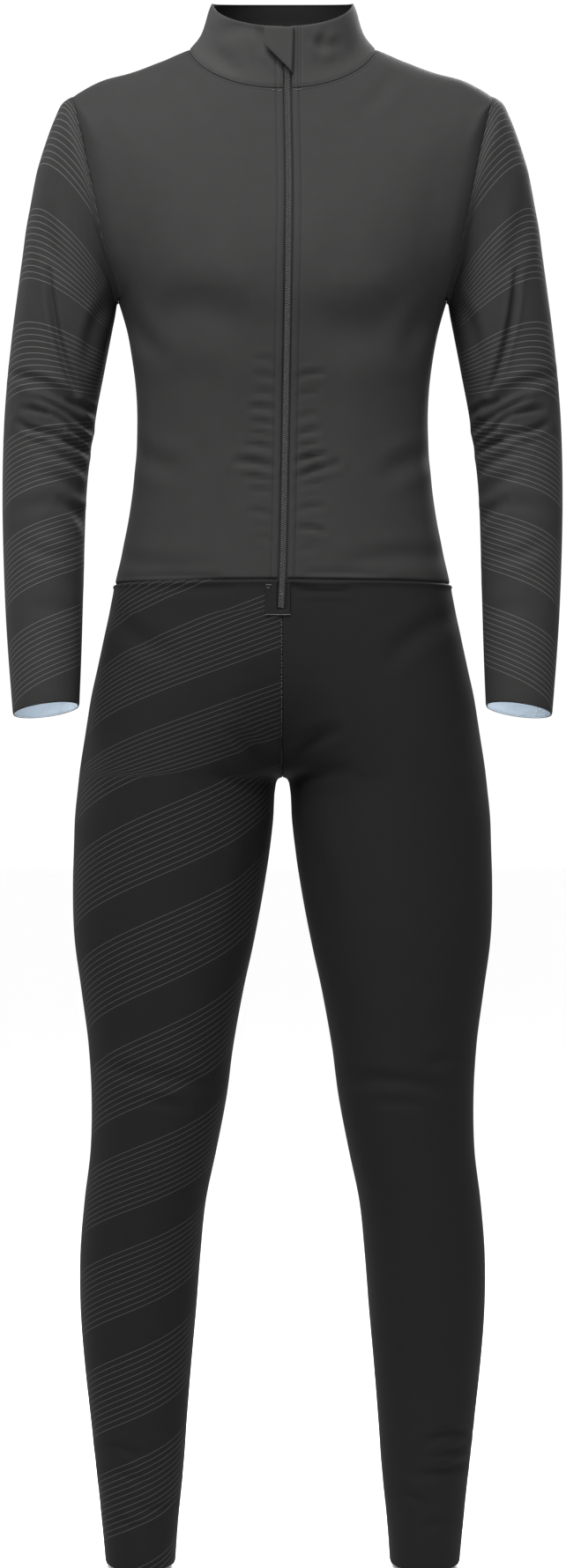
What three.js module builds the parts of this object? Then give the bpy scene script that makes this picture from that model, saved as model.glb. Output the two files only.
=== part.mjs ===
// Cross-country ski suit: a one-piece racing suit of stretch knit, hollow and in its worn shape.
// Millimetres. +X is the wearer's left, -Y the front and +Z up. The origin is inside the base of
// the collar, where the wearer's neck and shoulders hold the suit up.
import * as THREE from 'three';

// Cloth and seams
const WALL = 1.4;
const SEAM_GAP = 0.3;
const PATCH_WALL = 0.9;
const GUARD_WALL = 1.2;

// Faces across one quarter of the body, and round one sleeve
const QUARTER = 10;
const SLEEVE_FACES = 20;

// Levels of the body's table: waist seam, underarm, shoulder tip, neck seam and collar rim
const WAIST = 0;
const UNDERARM = 5;
const SHOULDER_TIP = 6;
const NECK = 8;
const RIM = 11;

// The armhole, as angles on each side of the side line
const ARMHOLE_FRONT = 28;
const ARMHOLE_BACK = 30;
const ARMHOLE_ROUND = 0.85;

// Upright axes inside a sleeve and a leg
const SLEEVE_AXIS = 205;
const LEG_AXIS = 125;

// Evening out a piece: passes, strips held at its edges, strips to reach the full pull, and that
const RELAX = { passes: 8, held: 1, strips: 2, pull: 0.5 };

// Points this near are one spot of a seam, and a mitre at a seam is never longer than this
const SAME_SPOT = 0.05;
const LONGEST_MITRE = 2.2;

// Small steps that measure a slope, in levels, in drop and in degrees
const LEVEL_STEP = 0.01;
const DROP_STEP = 0.5;
const ANGLE_STEP = 0.5;

// Gentle fullness of the chest, on each front
const CHEST = { x: 72, z: -190, wide: 58, high: 50, deep: 8 };

// Legs, as distances below the waist seam
const WAIST_Z = -471;
const CROTCH = 174.6;
const ZIP_MIDDLE = 13.5;
const ZIP_END = 27;
const UNDER_ZIP = 29;

// Zip
const CHAIN_HALF = 3.6;
const CHAIN_PROUD = 0.5;
const TAPE_HALF = 9;
const TAPE_THICK = 0.7;
const TAPE_CLEAR = 0.5;
const ZIP_TOP = 10.85;
const ZIP_FOOT_CLEAR = 0.6;

// Slider and its pull tab, lying under the guard
const SLIDER = { wide: 6.6, low: 2.6, high: 13, near: 0.8, far: 1.9 };
const TAB = { wide: 4.6, low: -9, high: 2.2, near: 0.8, far: 1.7 };

// Guard over the top of the zip: a flap sewn at the wearer's left and free at the right
const GUARD = {
  sewnTopX: 10.6,
  sewnFootX: 9.2,
  freeX: -15.3,
  topClear: 0.6,
  sewnFootZ: -18.5,
  freeFootZ: 6.6,
  seat: 0.3,
  raised: 2.3,
  freeRise: 1.3,
  shares: [0, 0.07, 0.2, 0.36, 0.52, 0.68, 0.84, 1],
  down: 6,
};

// Patch round the end of the zip, on the legs' fronts
const PATCH = { rightX: -15.5, leftX: 7.4, slotHalf: 4.3, top: 1, foot: 32.5, seat: 0.3 };

// The body, from the waist seam up to the collar's rim. Each ring crosses the side, the centre
// front and the centre back at the given places. round is 2 for an ellipse and more for a boxier
// ring, and fall over 1 keeps the ring level near the side.
const BODY = table('level sideX sideY sideZ frontY frontZ backY backZ round fall', [
  [0, 152, 0, -471, -103, -471, 104, -471, 2.25, 1],
  [1, 140.2, 0, -415, -99.5, -415, 93, -415, 2.28, 1],
  [2, 133.8, 0, -365, -97.5, -365, 87, -365, 2.32, 1],
  [3, 132, 1, -315, -99, -315, 87, -315, 2.36, 1],
  [4, 136.6, 3, -266, -105, -266, 93, -264, 2.45, 1],
  [5, 149, 5, -214, -110, -216, 101, -211, 2.6, 1],
  [5.25, 170, 7, -165, -109, -186, 107, -172, 2.75, 1.15],
  [5.5, 183, 7, -112, -104, -155, 108, -132, 2.8, 1.35],
  [5.75, 189.5, 6, -62, -96, -125, 104, -94, 2.75, 1.55],
  [6, 190, 3, -27, -87, -97, 97, -58, 2.6, 1.7],
  [7, 137, 1, -5.7, -76, -63, 82, -19, 2.35, 1.6],
  [8, 84.5, -2, 15, -66, -31.5, 62, 20, 2.15, 1.3],
  [9, 72.4, -6, 31, -67.5, -13, 56.5, 36, 2.1, 1.15],
  [10, 68, -9, 45, -70, 5.5, 53, 51.5, 2.1, 1.1],
  [11, 64, -11, 55, -72.5, 22.5, 50.5, 65.5, 2.1, 1.1],
]);

// One leg, by distance below the waist seam. inner is where the ring would reach without the
// other leg, and soften rounds the valley between the legs. tilt drops the front of the hem.
const LEG = table('drop outer inner frontY backY round soften tilt', [
  [0, 152, -152, -103, 104, 2.25, 0, 0],
  [34, 159, -124, -103.5, 114, 2.22, 6, 0],
  [69, 166.8, -86, -102, 121, 2.18, 11, 0],
  [104, 174.8, -45, -99, 124.5, 2.14, 14, 0],
  [134, 179.8, -12, -96, 123, 2.1, 16, 0],
  [157, 183.6, 5, -93.5, 120, 2.06, 16, 0],
  [168, 185.2, 11.6, -92.5, 118.5, 2.04, 16, 0],
  [174.6, 186, 16, -92, 117, 2.02, 16, 0],
  [184, 187, 17.3, -91.5, 115, 2, 16, 0],
  [209, 189.4, 17, -90.5, 109, 2, 15, 0],
  [239, 190.2, 17.1, -89.5, 102, 2, 13, 0],
  [274, 190.8, 19.3, -88.5, 95, 2, 10, 0],
  [319, 189.2, 25.5, -86.5, 87.5, 2, 6, 0],
  [369, 182.4, 35.6, -83, 80, 2, 2, 0],
  [419, 175.8, 44.5, -78.5, 73, 2, 0, 0],
  [469, 173.2, 51.3, -73.5, 67.5, 2, 0, 0],
  [514, 174.4, 60, -68, 67, 2, 0, 0],
  [559, 180, 69.3, -61, 71, 2, 0, 0],
  [609, 184.2, 74.5, -52.5, 75, 2, 0, 0],
  [659, 184.2, 78.4, -44, 75, 2, 0, 0],
  [709, 180.6, 82.8, -35.5, 71, 2, 0, 0.01],
  [759, 175.2, 86.8, -28.5, 66, 2, 0, 0.02],
  [809, 169.7, 90.5, -23, 62, 2, 0, 0.035],
  [854, 165, 95, -19, 59.5, 2, 0, 0.06],
  [890, 161.6, 97.6, -17, 58, 2, 0, 0.08],
]);

// One sleeve, from just outside the armhole to the cuff. A section runs from its outer to its
// inner point and from its front to its back, and lift raises its front and lowers its back.
const SLEEVE = table('section outerX outerZ innerX innerZ frontY backY lift', [
  [1, 199.5, -33.5, 150.4, -217.5, -53, 59, 0],
  [2, 206.5, -47, 151.2, -222, -51, 58, 0],
  [3, 214.5, -68, 152.2, -228, -49.5, 57, 0],
  [4, 223.5, -98, 154, -237, -48, 56, 0],
  [5, 230, -132, 156.5, -249.5, -46.5, 55, 0],
  [6, 235.5, -168, 159.5, -265, -45, 54, 0],
  [7, 240.5, -204, 162.5, -281, -43, 53, 0],
  [8, 245, -238, 165.5, -296, -41, 52, 0],
  [9, 248.2, -266, 168, -309, -39.5, 51, 0],
  [10, 250.4, -288, 169.8, -320, -38.5, 50, 0.3],
  [11, 251.8, -305, 171.2, -330, -38, 49.2, 0.7],
  [12, 252.8, -321, 172.6, -340, -37.8, 48.2, 1.2],
  [13, 253.5, -338, 174.2, -352, -38.2, 46.8, 1.8],
  [14, 254, -360, 176.2, -369, -39.6, 44.4, 2.7],
  [15, 254, -390, 178, -395, -42.6, 39.6, 4],
  [16, 253.3, -424, 178.9, -425, -46.6, 33, 5.2],
  [17, 251.9, -460, 179.5, -459, -51, 25, 6],
  [18, 250, -496, 180.1, -493, -55.6, 16.5, 6.2],
  [19, 247.4, -532, 180.8, -528, -60.2, 7.8, 6],
  [20, 244.6, -564, 181.6, -558, -64, 0, 5.7],
  [21, 242.2, -590, 182.4, -581.5, -66.5, -6, 5.5],
]);

// Centre of the zip at each height
const ZIP_LINE = table('z x', [
  [-500, -1.4],
  [-460, 0.4],
  [-380, 2],
  [-290, 3.6],
  [-200, 5],
  [-120, 5.8],
  [-20, 4.4],
  [60, 4.4],
]);

// The sleeve's largest troughs. round is the angle from the inner line by way of the front,
// slope turns a trough from level, and run and wide are its half length and half width. The
// sections next to the armhole have none.
const TROUGHS = table('round z slope run wide deep', [
  [82, -250, 66, 46, 9, 3.4],
  [112, -288, 24, 26, 8, 3.2],
  [52, -312, 32, 28, 8, 3.4],
  [128, -322, 12, 24, 7, 2.6],
  [70, -343, 20, 28, 8, 2.4],
  [262, -300, -18, 30, 9, 2.8],
  [240, -330, 14, 26, 8, 2.4],
]);
const TROUGH_RADIUS = 44;
const PLAIN_SECTIONS = 3;

const radians = THREE.MathUtils.degToRad;
const degrees = THREE.MathUtils.radToDeg;

// Rows of numbers as objects with named columns
function table(columns, rows) {
  const names = columns.split(' ');
  return rows.map((row) => Object.fromEntries(names.map((name, i) => [name, row[i]])));
}

// A column's value at a place between the rows, on a smooth curve through them
function smooth(rows, key, name, at) {
  const place = THREE.MathUtils.clamp(at, rows[0][key], rows[rows.length - 1][key]);
  const next = Math.max(1, rows.findIndex((row) => place <= row[key]));
  const [a, b] = [rows[next - 1], rows[next]];
  const span = b[key] - a[key];
  const t = (place - a[key]) / span;
  const slopes = [next - 1, next].map((i) => {
    const low = rows[Math.max(i - 1, 0)];
    const high = rows[Math.min(i + 1, rows.length - 1)];
    return (high[name] - low[name]) / (high[key] - low[key]);
  });
  const [t2, t3] = [t * t, t * t * t];
  return (
    a[name] * (2 * t3 - 3 * t2 + 1) +
    b[name] * (3 * t2 - 2 * t3) +
    slopes[0] * span * (t3 - 2 * t2 + t) +
    slopes[1] * span * (t3 - t2)
  );
}

// A number's power that keeps its sign
function signedPower(value, power) {
  return Math.sign(value) * Math.abs(value) ** power;
}

// The point of a ring at an angle: 0 is the front, 90 the outer side and 180 the back
function ringPoint(ring, angle) {
  const across = Math.sin(radians(angle));
  const ahead = Math.cos(radians(angle));
  const along = Math.abs(ahead) ** (2 / ring.round);
  const endY = ahead >= 0 ? ring.frontY : ring.backY;
  const endZ = ahead >= 0 ? ring.frontZ : ring.backZ;
  return new THREE.Vector3(
    ring.midX + ring.halfX * signedPower(across, 2 / ring.round),
    ring.sideY + (endY - ring.sideY) * along,
    ring.sideZ + (endZ - ring.sideZ) * along ** ring.fall,
  );
}

// The angle in front at which a ring passes a given distance from its middle
function angleAt(ring, x) {
  const share = THREE.MathUtils.clamp((x - ring.midX) / ring.halfX, -1, 1);
  return degrees(Math.asin(signedPower(share, ring.round / 2)));
}

function bodyRing(level) {
  const value = (name) => smooth(BODY, 'level', name, level);
  return {
    midX: 0,
    halfX: value('sideX'),
    sideY: value('sideY'),
    sideZ: value('sideZ'),
    frontY: value('frontY'),
    frontZ: value('frontZ'),
    backY: value('backY'),
    backZ: value('backZ'),
    round: value('round'),
    fall: value('fall'),
  };
}

// A point of the body or collar, for the wearer's left half
function bodyPoint(level, angle) {
  const point = ringPoint(bodyRing(level), angle);
  if (Math.abs(angle) < 90) {
    const besides = (Math.abs(point.x) - CHEST.x) / CHEST.wide;
    const above = (point.z - CHEST.z) / CHEST.high;
    const fade = Math.cos(radians(angle));
    point.y -= CHEST.deep * fade * Math.exp(-besides * besides - above * above);
  }
  return point;
}

function legRing(drop) {
  const value = (name) => smooth(LEG, 'drop', name, drop);
  const [outer, inner, soften] = [value('outer'), value('inner'), value('soften')];
  const [frontY, backY] = [value('frontY'), value('backY')];
  const sideY = drop < ZIP_END ? 0 : ((frontY + backY) / 2) * fadeIn((drop - ZIP_END) / CROTCH);
  const tilt = value('tilt');
  const z = WAIST_Z - drop;
  const ring = {
    midX: (outer + inner) / 2,
    halfX: (outer - inner) / 2,
    sideY,
    sideZ: z,
    frontY,
    frontZ: z + tilt * (frontY - sideY),
    backY,
    backZ: z + tilt * (backY - sideY),
    round: value('round'),
    fall: 1,
    soften,
  };
  ring.start = drop < CROTCH ? angleAt(ring, soften) : -90;
  return ring;
}

// A rise from 0 to 1 with level ends
function fadeIn(share) {
  return THREE.MathUtils.smoothstep(share, 0, 1);
}

// A point of the wearer's left leg. Above the crotch, angles past the middle lie on the other leg.
function legPoint(drop, angle) {
  const ring = legRing(drop);
  const end = 180 - ring.start;
  let turned = angle;
  let side = 1;
  if (drop < CROTCH && angle < ring.start) {
    turned = 2 * ring.start - angle;
    side = -1;
  } else if (drop < CROTCH && angle > end) {
    turned = 2 * end - angle;
    side = -1;
  }
  const point = ringPoint(ring, turned);
  point.x = side * Math.sqrt(Math.max(point.x ** 2 - ring.soften ** 2, 0));
  return point;
}

// The angle in front at which a leg's ring passes a given distance from the middle
function legAngleAt(drop, x) {
  const ring = legRing(drop);
  const angle = angleAt(ring, Math.hypot(x, ring.soften));
  return x < 0 ? 2 * ring.start - angle : angle;
}

function zipX(z) {
  return smooth(ZIP_LINE, 'z', 'x', z);
}

// Half angles that the armhole takes out of a ring, in front of the side line and behind it
function armholeAngle(level, widest) {
  const share = THREE.MathUtils.clamp(level - UNDERARM, 0, SHOULDER_TIP - UNDERARM);
  const height = Math.acos(1 - 2 * share);
  return widest * Math.sin(height) ** ARMHOLE_ROUND;
}

// Angles that cut a curve into equal lengths
function evenAngles(pointAt, from, to, faces) {
  const steps = 120;
  const angles = [from];
  const lengths = [0];
  let before = pointAt(from);
  for (let i = 1; i <= steps; i += 1) {
    const angle = from + ((to - from) * i) / steps;
    const point = pointAt(angle);
    angles.push(angle);
    lengths.push(lengths[i - 1] + point.distanceTo(before));
    before = point;
  }
  const places = [];
  for (let face = 0; face <= faces; face += 1) {
    const wanted = (lengths[steps] * face) / faces;
    const next = Math.max(1, lengths.findIndex((length) => length >= wanted - 1e-9));
    const share = (wanted - lengths[next - 1]) / (lengths[next] - lengths[next - 1]);
    places.push(angles[next - 1] + (angles[next] - angles[next - 1]) * share);
  }
  return places;
}

// The forward normal of a surface in front, from its points a little way up and across
function forwardNormal(pointAt, row, angle, rowStep) {
  const along = pointAt(row + rowStep, angle).sub(pointAt(row - rowStep, angle));
  const across = pointAt(row, angle + ANGLE_STEP).sub(pointAt(row, angle - ANGLE_STEP));
  const normal = along.cross(across).normalize();
  return normal.y > 0 ? normal.negate() : normal;
}

// The normals of a grid of points, facing away from an upright axis at axisX
function withNormals(rows, axisX, closed = false) {
  const lastRow = rows.length - 1;
  const width = rows[0].length;
  const column = (c) => (closed ? (c + width) % width : Math.min(Math.max(c, 0), width - 1));
  const grid = rows.map((row, r) =>
    row.map((point, c) => {
      const down = rows[Math.min(r + 1, lastRow)][c].clone().sub(rows[Math.max(r - 1, 0)][c]);
      const round = row[column(c + 1)].clone().sub(row[column(c - 1)]);
      return { point, normal: down.cross(round).normalize() };
    }),
  );
  const facing = grid.flat().reduce(
    (sum, { point, normal }) => sum + normal.x * (point.x - axisX) + normal.y * point.y,
    0,
  );
  if (facing < 0) grid.flat().forEach(({ normal }) => normal.negate());
  return grid;
}

// Evens out the creases that run across a piece, with its edges and the strips beside them held
function relaxed(rows) {
  let points = rows;
  for (let pass = 0; pass < RELAX.passes; pass += 1) {
    const before = points;
    points = before.map((row, r) =>
      row.map((point, c) => {
        const strips = Math.min(c, row.length - 1 - c) - RELAX.held;
        if (r === 0 || r === before.length - 1 || strips <= 0) return point;
        const pull = RELAX.pull * Math.min(strips / RELAX.strips, 1);
        const [low, high] = [before[r - 1][c], before[r + 1][c]];
        const share = point.distanceTo(low) / (point.distanceTo(low) + point.distanceTo(high));
        return point.clone().lerp(low.clone().lerp(high, share), pull);
      }),
    );
  }
  return points;
}

function mirroredRows(rows) {
  const flip = new THREE.Vector3(-1, 1, 1);
  return rows.map((row) => row.map((point) => point.clone().multiply(flip)));
}

// The levels between two of the table's, cut into equal steps
function steps(from, to, count) {
  return Array.from({ length: count + 1 }, (_, i) => from + ((to - from) * i) / count);
}

// Levels that lie closer at both ends of the armhole, one for each pair of sleeve faces
function armholeLevels() {
  const count = SLEEVE_FACES / 2;
  const turns = steps(0, Math.PI, count);
  const width = SHOULDER_TIP - UNDERARM;
  return turns.map((turn) => UNDERARM + (width * (1 - Math.cos(turn))) / 2);
}

const BODY_LEVELS = [
  ...steps(WAIST, UNDERARM, 9).slice(0, -1),
  ...armholeLevels(),
  ...steps(SHOULDER_TIP, NECK, 4).slice(1),
];
const COLLAR_LEVELS = steps(NECK, RIM, 4);

// A front's row, from the zip to the side seam, the armhole or the shoulder seam
function frontRow(level, hand) {
  const ring = bodyRing(level);
  const edgeX = CHAIN_HALF + SEAM_GAP / 2 + hand * zipX(ring.frontZ);
  const to = 90 - armholeAngle(level, ARMHOLE_FRONT);
  const pointAt = (angle) => bodyPoint(level, angle);
  return evenAngles(pointAt, angleAt(ring, edgeX), to, QUARTER).map(pointAt);
}

// Half a back's row, from the side to the centre back
function backHalfRow(level) {
  const from = 90 + armholeAngle(level, ARMHOLE_BACK);
  const pointAt = (angle) => bodyPoint(level, angle);
  return evenAngles(pointAt, from, 180, QUARTER).map(pointAt);
}

// A whole back's row, from the wearer's left to the right
function backRow(level) {
  const left = backHalfRow(level);
  const [right] = mirroredRows([left.slice(0, -1)]);
  return [...left, ...right.reverse()];
}

// A collar's row, from the zip round the back to the zip
function collarRow(level) {
  const left = frontRow(level, 1);
  const [right] = mirroredRows([frontRow(level, -1)]);
  return [...left, ...backRow(level).slice(1, -1), ...right.reverse()];
}

// A leg's rows. The front's upper end stops at the zip, and the rest meets the other leg.
const LEG_DROPS = [
  0, ZIP_MIDDLE, ZIP_END, UNDER_ZIP, 48, 76, 104, 126, 143, 157, 168, CROTCH, 184, 209, 239, 274,
  319, 369, 419, 469, 514, 559, 609, 659, 709, 759, 809, 854, 890,
];

function legFrontRow(drop, hand) {
  const ring = legRing(drop);
  const edgeX = CHAIN_HALF + SEAM_GAP / 2 + hand * zipX(WAIST_Z - drop);
  const from = drop <= ZIP_END ? legAngleAt(drop, edgeX) : ring.start;
  const pointAt = (angle) => legPoint(drop, angle);
  return evenAngles(pointAt, from, 90, QUARTER).map(pointAt);
}

function legBackRow(drop) {
  const pointAt = (angle) => legPoint(drop, angle);
  const to = 180 - legRing(drop).start;
  return evenAngles(pointAt, 90, to, QUARTER).map(pointAt);
}

// The armhole's points from the underarm up the front and down the back
function armholeLoop() {
  const levels = armholeLevels();
  const front = levels.map((level) => bodyPoint(level, 90 - armholeAngle(level, ARMHOLE_FRONT)));
  const back = levels.map((level) => bodyPoint(level, 90 + armholeAngle(level, ARMHOLE_BACK)));
  return [...front, ...back.slice(1, -1).reverse()];
}

function sleeveSection(row) {
  const middle = new THREE.Vector3(
    (row.outerX + row.innerX) / 2,
    (row.frontY + row.backY) / 2,
    (row.outerZ + row.innerZ) / 2,
  );
  const out = new THREE.Vector3((row.outerX - row.innerX) / 2, 0, (row.outerZ - row.innerZ) / 2);
  const ahead = new THREE.Vector3(0, (row.frontY - row.backY) / 2, row.lift);
  return Array.from({ length: SLEEVE_FACES }, (_, face) => {
    const turn = (2 * Math.PI * face) / SLEEVE_FACES;
    const point = middle.clone().addScaledVector(out, -Math.cos(turn));
    return point.addScaledVector(ahead, Math.sin(turn));
  });
}

// How far the sleeve's troughs push a point in
function troughDepth(turn, z) {
  return TROUGHS.reduce((sum, trough) => {
    const besides = radians(turn - trough.round) * TROUGH_RADIUS;
    const above = z - trough.z;
    const [c, s] = [Math.cos(radians(trough.slope)), Math.sin(radians(trough.slope))];
    const along = (besides * c + above * s) / trough.run;
    const across = (above * c - besides * s) / trough.wide;
    return sum + trough.deep * Math.exp(-(along ** 4) - across * across);
  }, 0);
}

// A sleeve's rows of points: the first is the armhole and the last the cuff
function sleeveRows() {
  const plain = withNormals([armholeLoop(), ...SLEEVE.map(sleeveSection)], SLEEVE_AXIS, true);
  return plain.map((row, r) =>
    row.map(({ point, normal }, face) => {
      const deep = r > PLAIN_SECTIONS ? troughDepth((360 * face) / SLEEVE_FACES, point.z) : 0;
      return point.clone().addScaledVector(normal, -deep);
    }),
  );
}

// A piece of cloth: a grid of points on its outer face, with the next piece's edge shared
const sheets = [];

function sheet(name, material, rows, axisX, closed = false) {
  sheets.push({ name, material, closed, grid: withNormals(rows, axisX, closed) });
}

function edgeSpots(piece) {
  return edgeLoops(piece).flatMap((loop) => loop.map(([r, c]) => piece.grid[r][c]));
}

// Gives the spots of a seam one direction, so that the pieces on both sides meet in a mitre
function shareSeams(pieces) {
  const spots = pieces.flatMap(edgeSpots);
  const seen = new Set();
  spots.forEach((spot) => {
    if (seen.has(spot)) return;
    const group = spots.filter((other) => other.point.distanceTo(spot.point) < SAME_SPOT);
    const mean = group.reduce((sum, other) => sum.add(other.normal), new THREE.Vector3());
    mean.normalize();
    const facing = Math.min(...group.map((other) => other.normal.dot(mean)));
    group.forEach((other) => {
      seen.add(other);
      other.shared = mean;
      other.stretch = Math.min(1 / Math.max(facing, 0.01), LONGEST_MITRE);
    });
  });
}

// The faces of a wall between outer and inner points, with its edges closed
function wallGeometry(outer, inner, closed, missing = () => false) {
  const rows = outer.length - 1;
  const columns = outer[0].length - (closed ? 0 : 1);
  const width = outer[0].length;
  const index = (r, c) => r * width + (c % width);
  const count = outer.length * width;
  const isThere = (r, c) => {
    const column = closed ? (c + columns) % columns : c;
    return r >= 0 && r < rows && column >= 0 && column < columns && !missing(r, column);
  };
  const faces = [];
  const quad = (a, b, c, d) => faces.push(a, b, c, a, c, d);
  for (let r = 0; r < rows; r += 1) {
    for (let c = 0; c < columns; c += 1) {
      if (!isThere(r, c)) continue;
      const [a, b, d, e] = [index(r, c), index(r, c + 1), index(r + 1, c + 1), index(r + 1, c)];
      quad(a, b, d, e);
      quad(count + a, count + e, count + d, count + b);
      if (!isThere(r - 1, c)) quad(b, a, count + a, count + b);
      if (!isThere(r + 1, c)) quad(e, d, count + d, count + e);
      if (!isThere(r, c - 1)) quad(a, e, count + e, count + a);
      if (!isThere(r, c + 1)) quad(d, b, count + b, count + d);
    }
  }
  return closedGeometry([...outer.flat(), ...inner.flat()], faces);
}

// A geometry from points and faces, with unused points left out and all faces turned outward
function closedGeometry(points, faces) {
  const used = [...new Set(faces)];
  const renumbered = new Map(used.map((old, i) => [old, i]));
  const corners = faces.map((old) => renumbered.get(old));
  const places = used.map((old) => points[old]);
  let volume = 0;
  for (let i = 0; i < corners.length; i += 3) {
    const [a, b, c] = [places[corners[i]], places[corners[i + 1]], places[corners[i + 2]]];
    volume += a.dot(new THREE.Vector3().crossVectors(b, c));
  }
  if (volume < 0) corners.reverse();
  const geometry = new THREE.BufferGeometry();
  geometry.setAttribute(
    'position',
    new THREE.Float32BufferAttribute(places.flatMap((p) => p.toArray()), 3),
  );
  geometry.setIndex(corners);
  geometry.computeVertexNormals();
  return geometry;
}

// The places round a grid's edge, in order: one loop, or two for a closed sleeve
function edgeLoops({ grid, closed }) {
  const lastRow = grid.length - 1;
  const lastColumn = grid[0].length - 1;
  const places = (count, place) => Array.from({ length: count }, (_, i) => place(i));
  const along = (r) => places(lastColumn + 1, (c) => [r, c]);
  if (closed) return [along(0), along(lastRow).reverse()];
  return [
    [
      ...along(0).slice(0, -1),
      ...places(lastRow, (r) => [r, lastColumn]),
      ...along(lastRow).slice(1).reverse(),
      ...places(lastRow, (i) => [lastRow - i, 0]),
    ],
  ];
}

// How far each edge point draws back from its seams, square to both sides of its corner
function seamShifts(piece) {
  const { grid } = piece;
  const shifts = new Map();
  edgeLoops(piece).forEach((loop) => {
    const spot = (i) => {
      const [r, c] = loop[(i + loop.length) % loop.length];
      return grid[r][c];
    };
    const square = (from, to, up) =>
      new THREE.Vector3().subVectors(to.point, from.point).cross(up).normalize();
    const middle = Math.floor(grid[0].length / 2);
    const [r, c] = loop[middle];
    const inward = grid[r === 0 ? 1 : r - 1][c].point.clone().sub(grid[r][c].point);
    const turn = Math.sign(square(spot(middle), spot(middle + 1), spot(middle).shared).dot(inward));
    loop.forEach(([row, column], i) => {
      const up = grid[row][column].shared;
      const before = square(spot(i - 1), spot(i), up);
      const after = square(spot(i), spot(i + 1), up);
      const spread = 1 + before.dot(after);
      const shift = before.add(after).multiplyScalar((turn * SEAM_GAP) / 2 / spread);
      shifts.set(`${row},${column}`, shift);
    });
  });
  return shifts;
}

function clothMesh(piece) {
  const shifts = seamShifts(piece);
  const outer = piece.grid.map((row, r) =>
    row.map(({ point }, c) => point.clone().add(shifts.get(`${r},${c}`) ?? new THREE.Vector3())),
  );
  const inner = outer.map((row, r) =>
    row.map((point, c) => {
      const { normal, shared = normal, stretch = 1 } = piece.grid[r][c];
      return point.clone().addScaledVector(shared, -WALL * stretch);
    }),
  );
  return namedMesh(piece.name, wallGeometry(outer, inner, piece.closed), piece.material);
}

function namedMesh(name, geometry, material) {
  const mesh = new THREE.Mesh(geometry, material);
  mesh.name = name;
  return mesh;
}

function finish(color, roughness, metalness = 0) {
  return new THREE.MeshStandardMaterial({ color, roughness, metalness });
}

// The front surface at a level and a distance across, moved out by a distance
function bodyFrontAt(level, x, out) {
  const angle = angleAt(bodyRing(level), x);
  const normal = forwardNormal(bodyPoint, level, angle, LEVEL_STEP);
  return bodyPoint(level, angle).addScaledVector(normal, out);
}

function legFrontAt(drop, x, out) {
  const angle = legAngleAt(drop, x);
  const normal = forwardNormal(legPoint, drop, angle, DROP_STEP);
  return legPoint(drop, angle).addScaledVector(normal, out);
}

// The collar's front at a height and a distance across, moved out by a distance
function collarFrontAt(x, z, out) {
  const halvings = 30;
  let [low, high] = [SHOULDER_TIP, RIM];
  for (let i = 0; i < halvings; i += 1) {
    const middle = (low + high) / 2;
    if (bodyFrontAt(middle, x, 0).z < z) low = middle;
    else high = middle;
  }
  return bodyFrontAt((low + high) / 2, x, out);
}

// The zip: two tapes behind the fronts, with the closed coil between the fronts' edges
function zipChain(material) {
  const back = -WALL - TAPE_CLEAR;
  const section = [
    [-TAPE_HALF, back - TAPE_THICK],
    [-CHAIN_HALF, back - TAPE_THICK],
    [CHAIN_HALF, back - TAPE_THICK],
    [TAPE_HALF, back - TAPE_THICK],
    [TAPE_HALF, back],
    [CHAIN_HALF, back],
    [CHAIN_HALF, CHAIN_PROUD],
    [-CHAIN_HALF, CHAIN_PROUD],
    [-CHAIN_HALF, back],
    [-TAPE_HALF, back],
  ];
  const legRows = [ZIP_END - ZIP_FOOT_CLEAR, ZIP_MIDDLE].map((drop) =>
    section.map(([x, out]) => legFrontAt(drop, zipX(WAIST_Z - drop) + x, out)),
  );
  const levels = [...BODY_LEVELS, ...COLLAR_LEVELS.slice(1, -1), ZIP_TOP];
  const bodyRows = levels.map((level) =>
    section.map(([x, out]) => bodyFrontAt(level, zipX(bodyRing(level).frontZ) + x, out)),
  );
  const ends = [
    [0, 1, 8, 9],
    [1, 2, 5, 8],
    [5, 6, 7, 8],
    [2, 3, 4, 5],
  ];
  return tubeMesh('zip_chain', [...legRows, ...bodyRows], ends, material);
}

// A solid through sections of one outline, whose two ends are covered by quads of its corners
function tubeMesh(name, rows, endQuads, material) {
  const width = rows[0].length;
  const top = (rows.length - 1) * width;
  const faces = [];
  for (let r = 0; r < rows.length - 1; r += 1) {
    for (let c = 0; c < width; c += 1) {
      const [a, b] = [r * width + c, r * width + ((c + 1) % width)];
      faces.push(a, b, b + width, a, b + width, a + width);
    }
  }
  endQuads.forEach(([a, b, c, d]) => {
    faces.push(c, b, a, d, c, a);
    faces.push(top + a, top + b, top + c, top + a, top + c, top + d);
  });
  return namedMesh(name, closedGeometry(rows.flat(), faces), material);
}

// A plate that follows the front, between two heights and two depths
function plateMesh(name, size, material) {
  const middle = zipX(0);
  const heights = steps(size.low, size.high, 2);
  const places = steps(middle - size.wide / 2, middle + size.wide / 2, 2);
  const layer = (out) => heights.map((z) => places.map((x) => collarFrontAt(x, z, out)));
  return namedMesh(name, wallGeometry(layer(size.far), layer(size.near), false), material);
}

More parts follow.
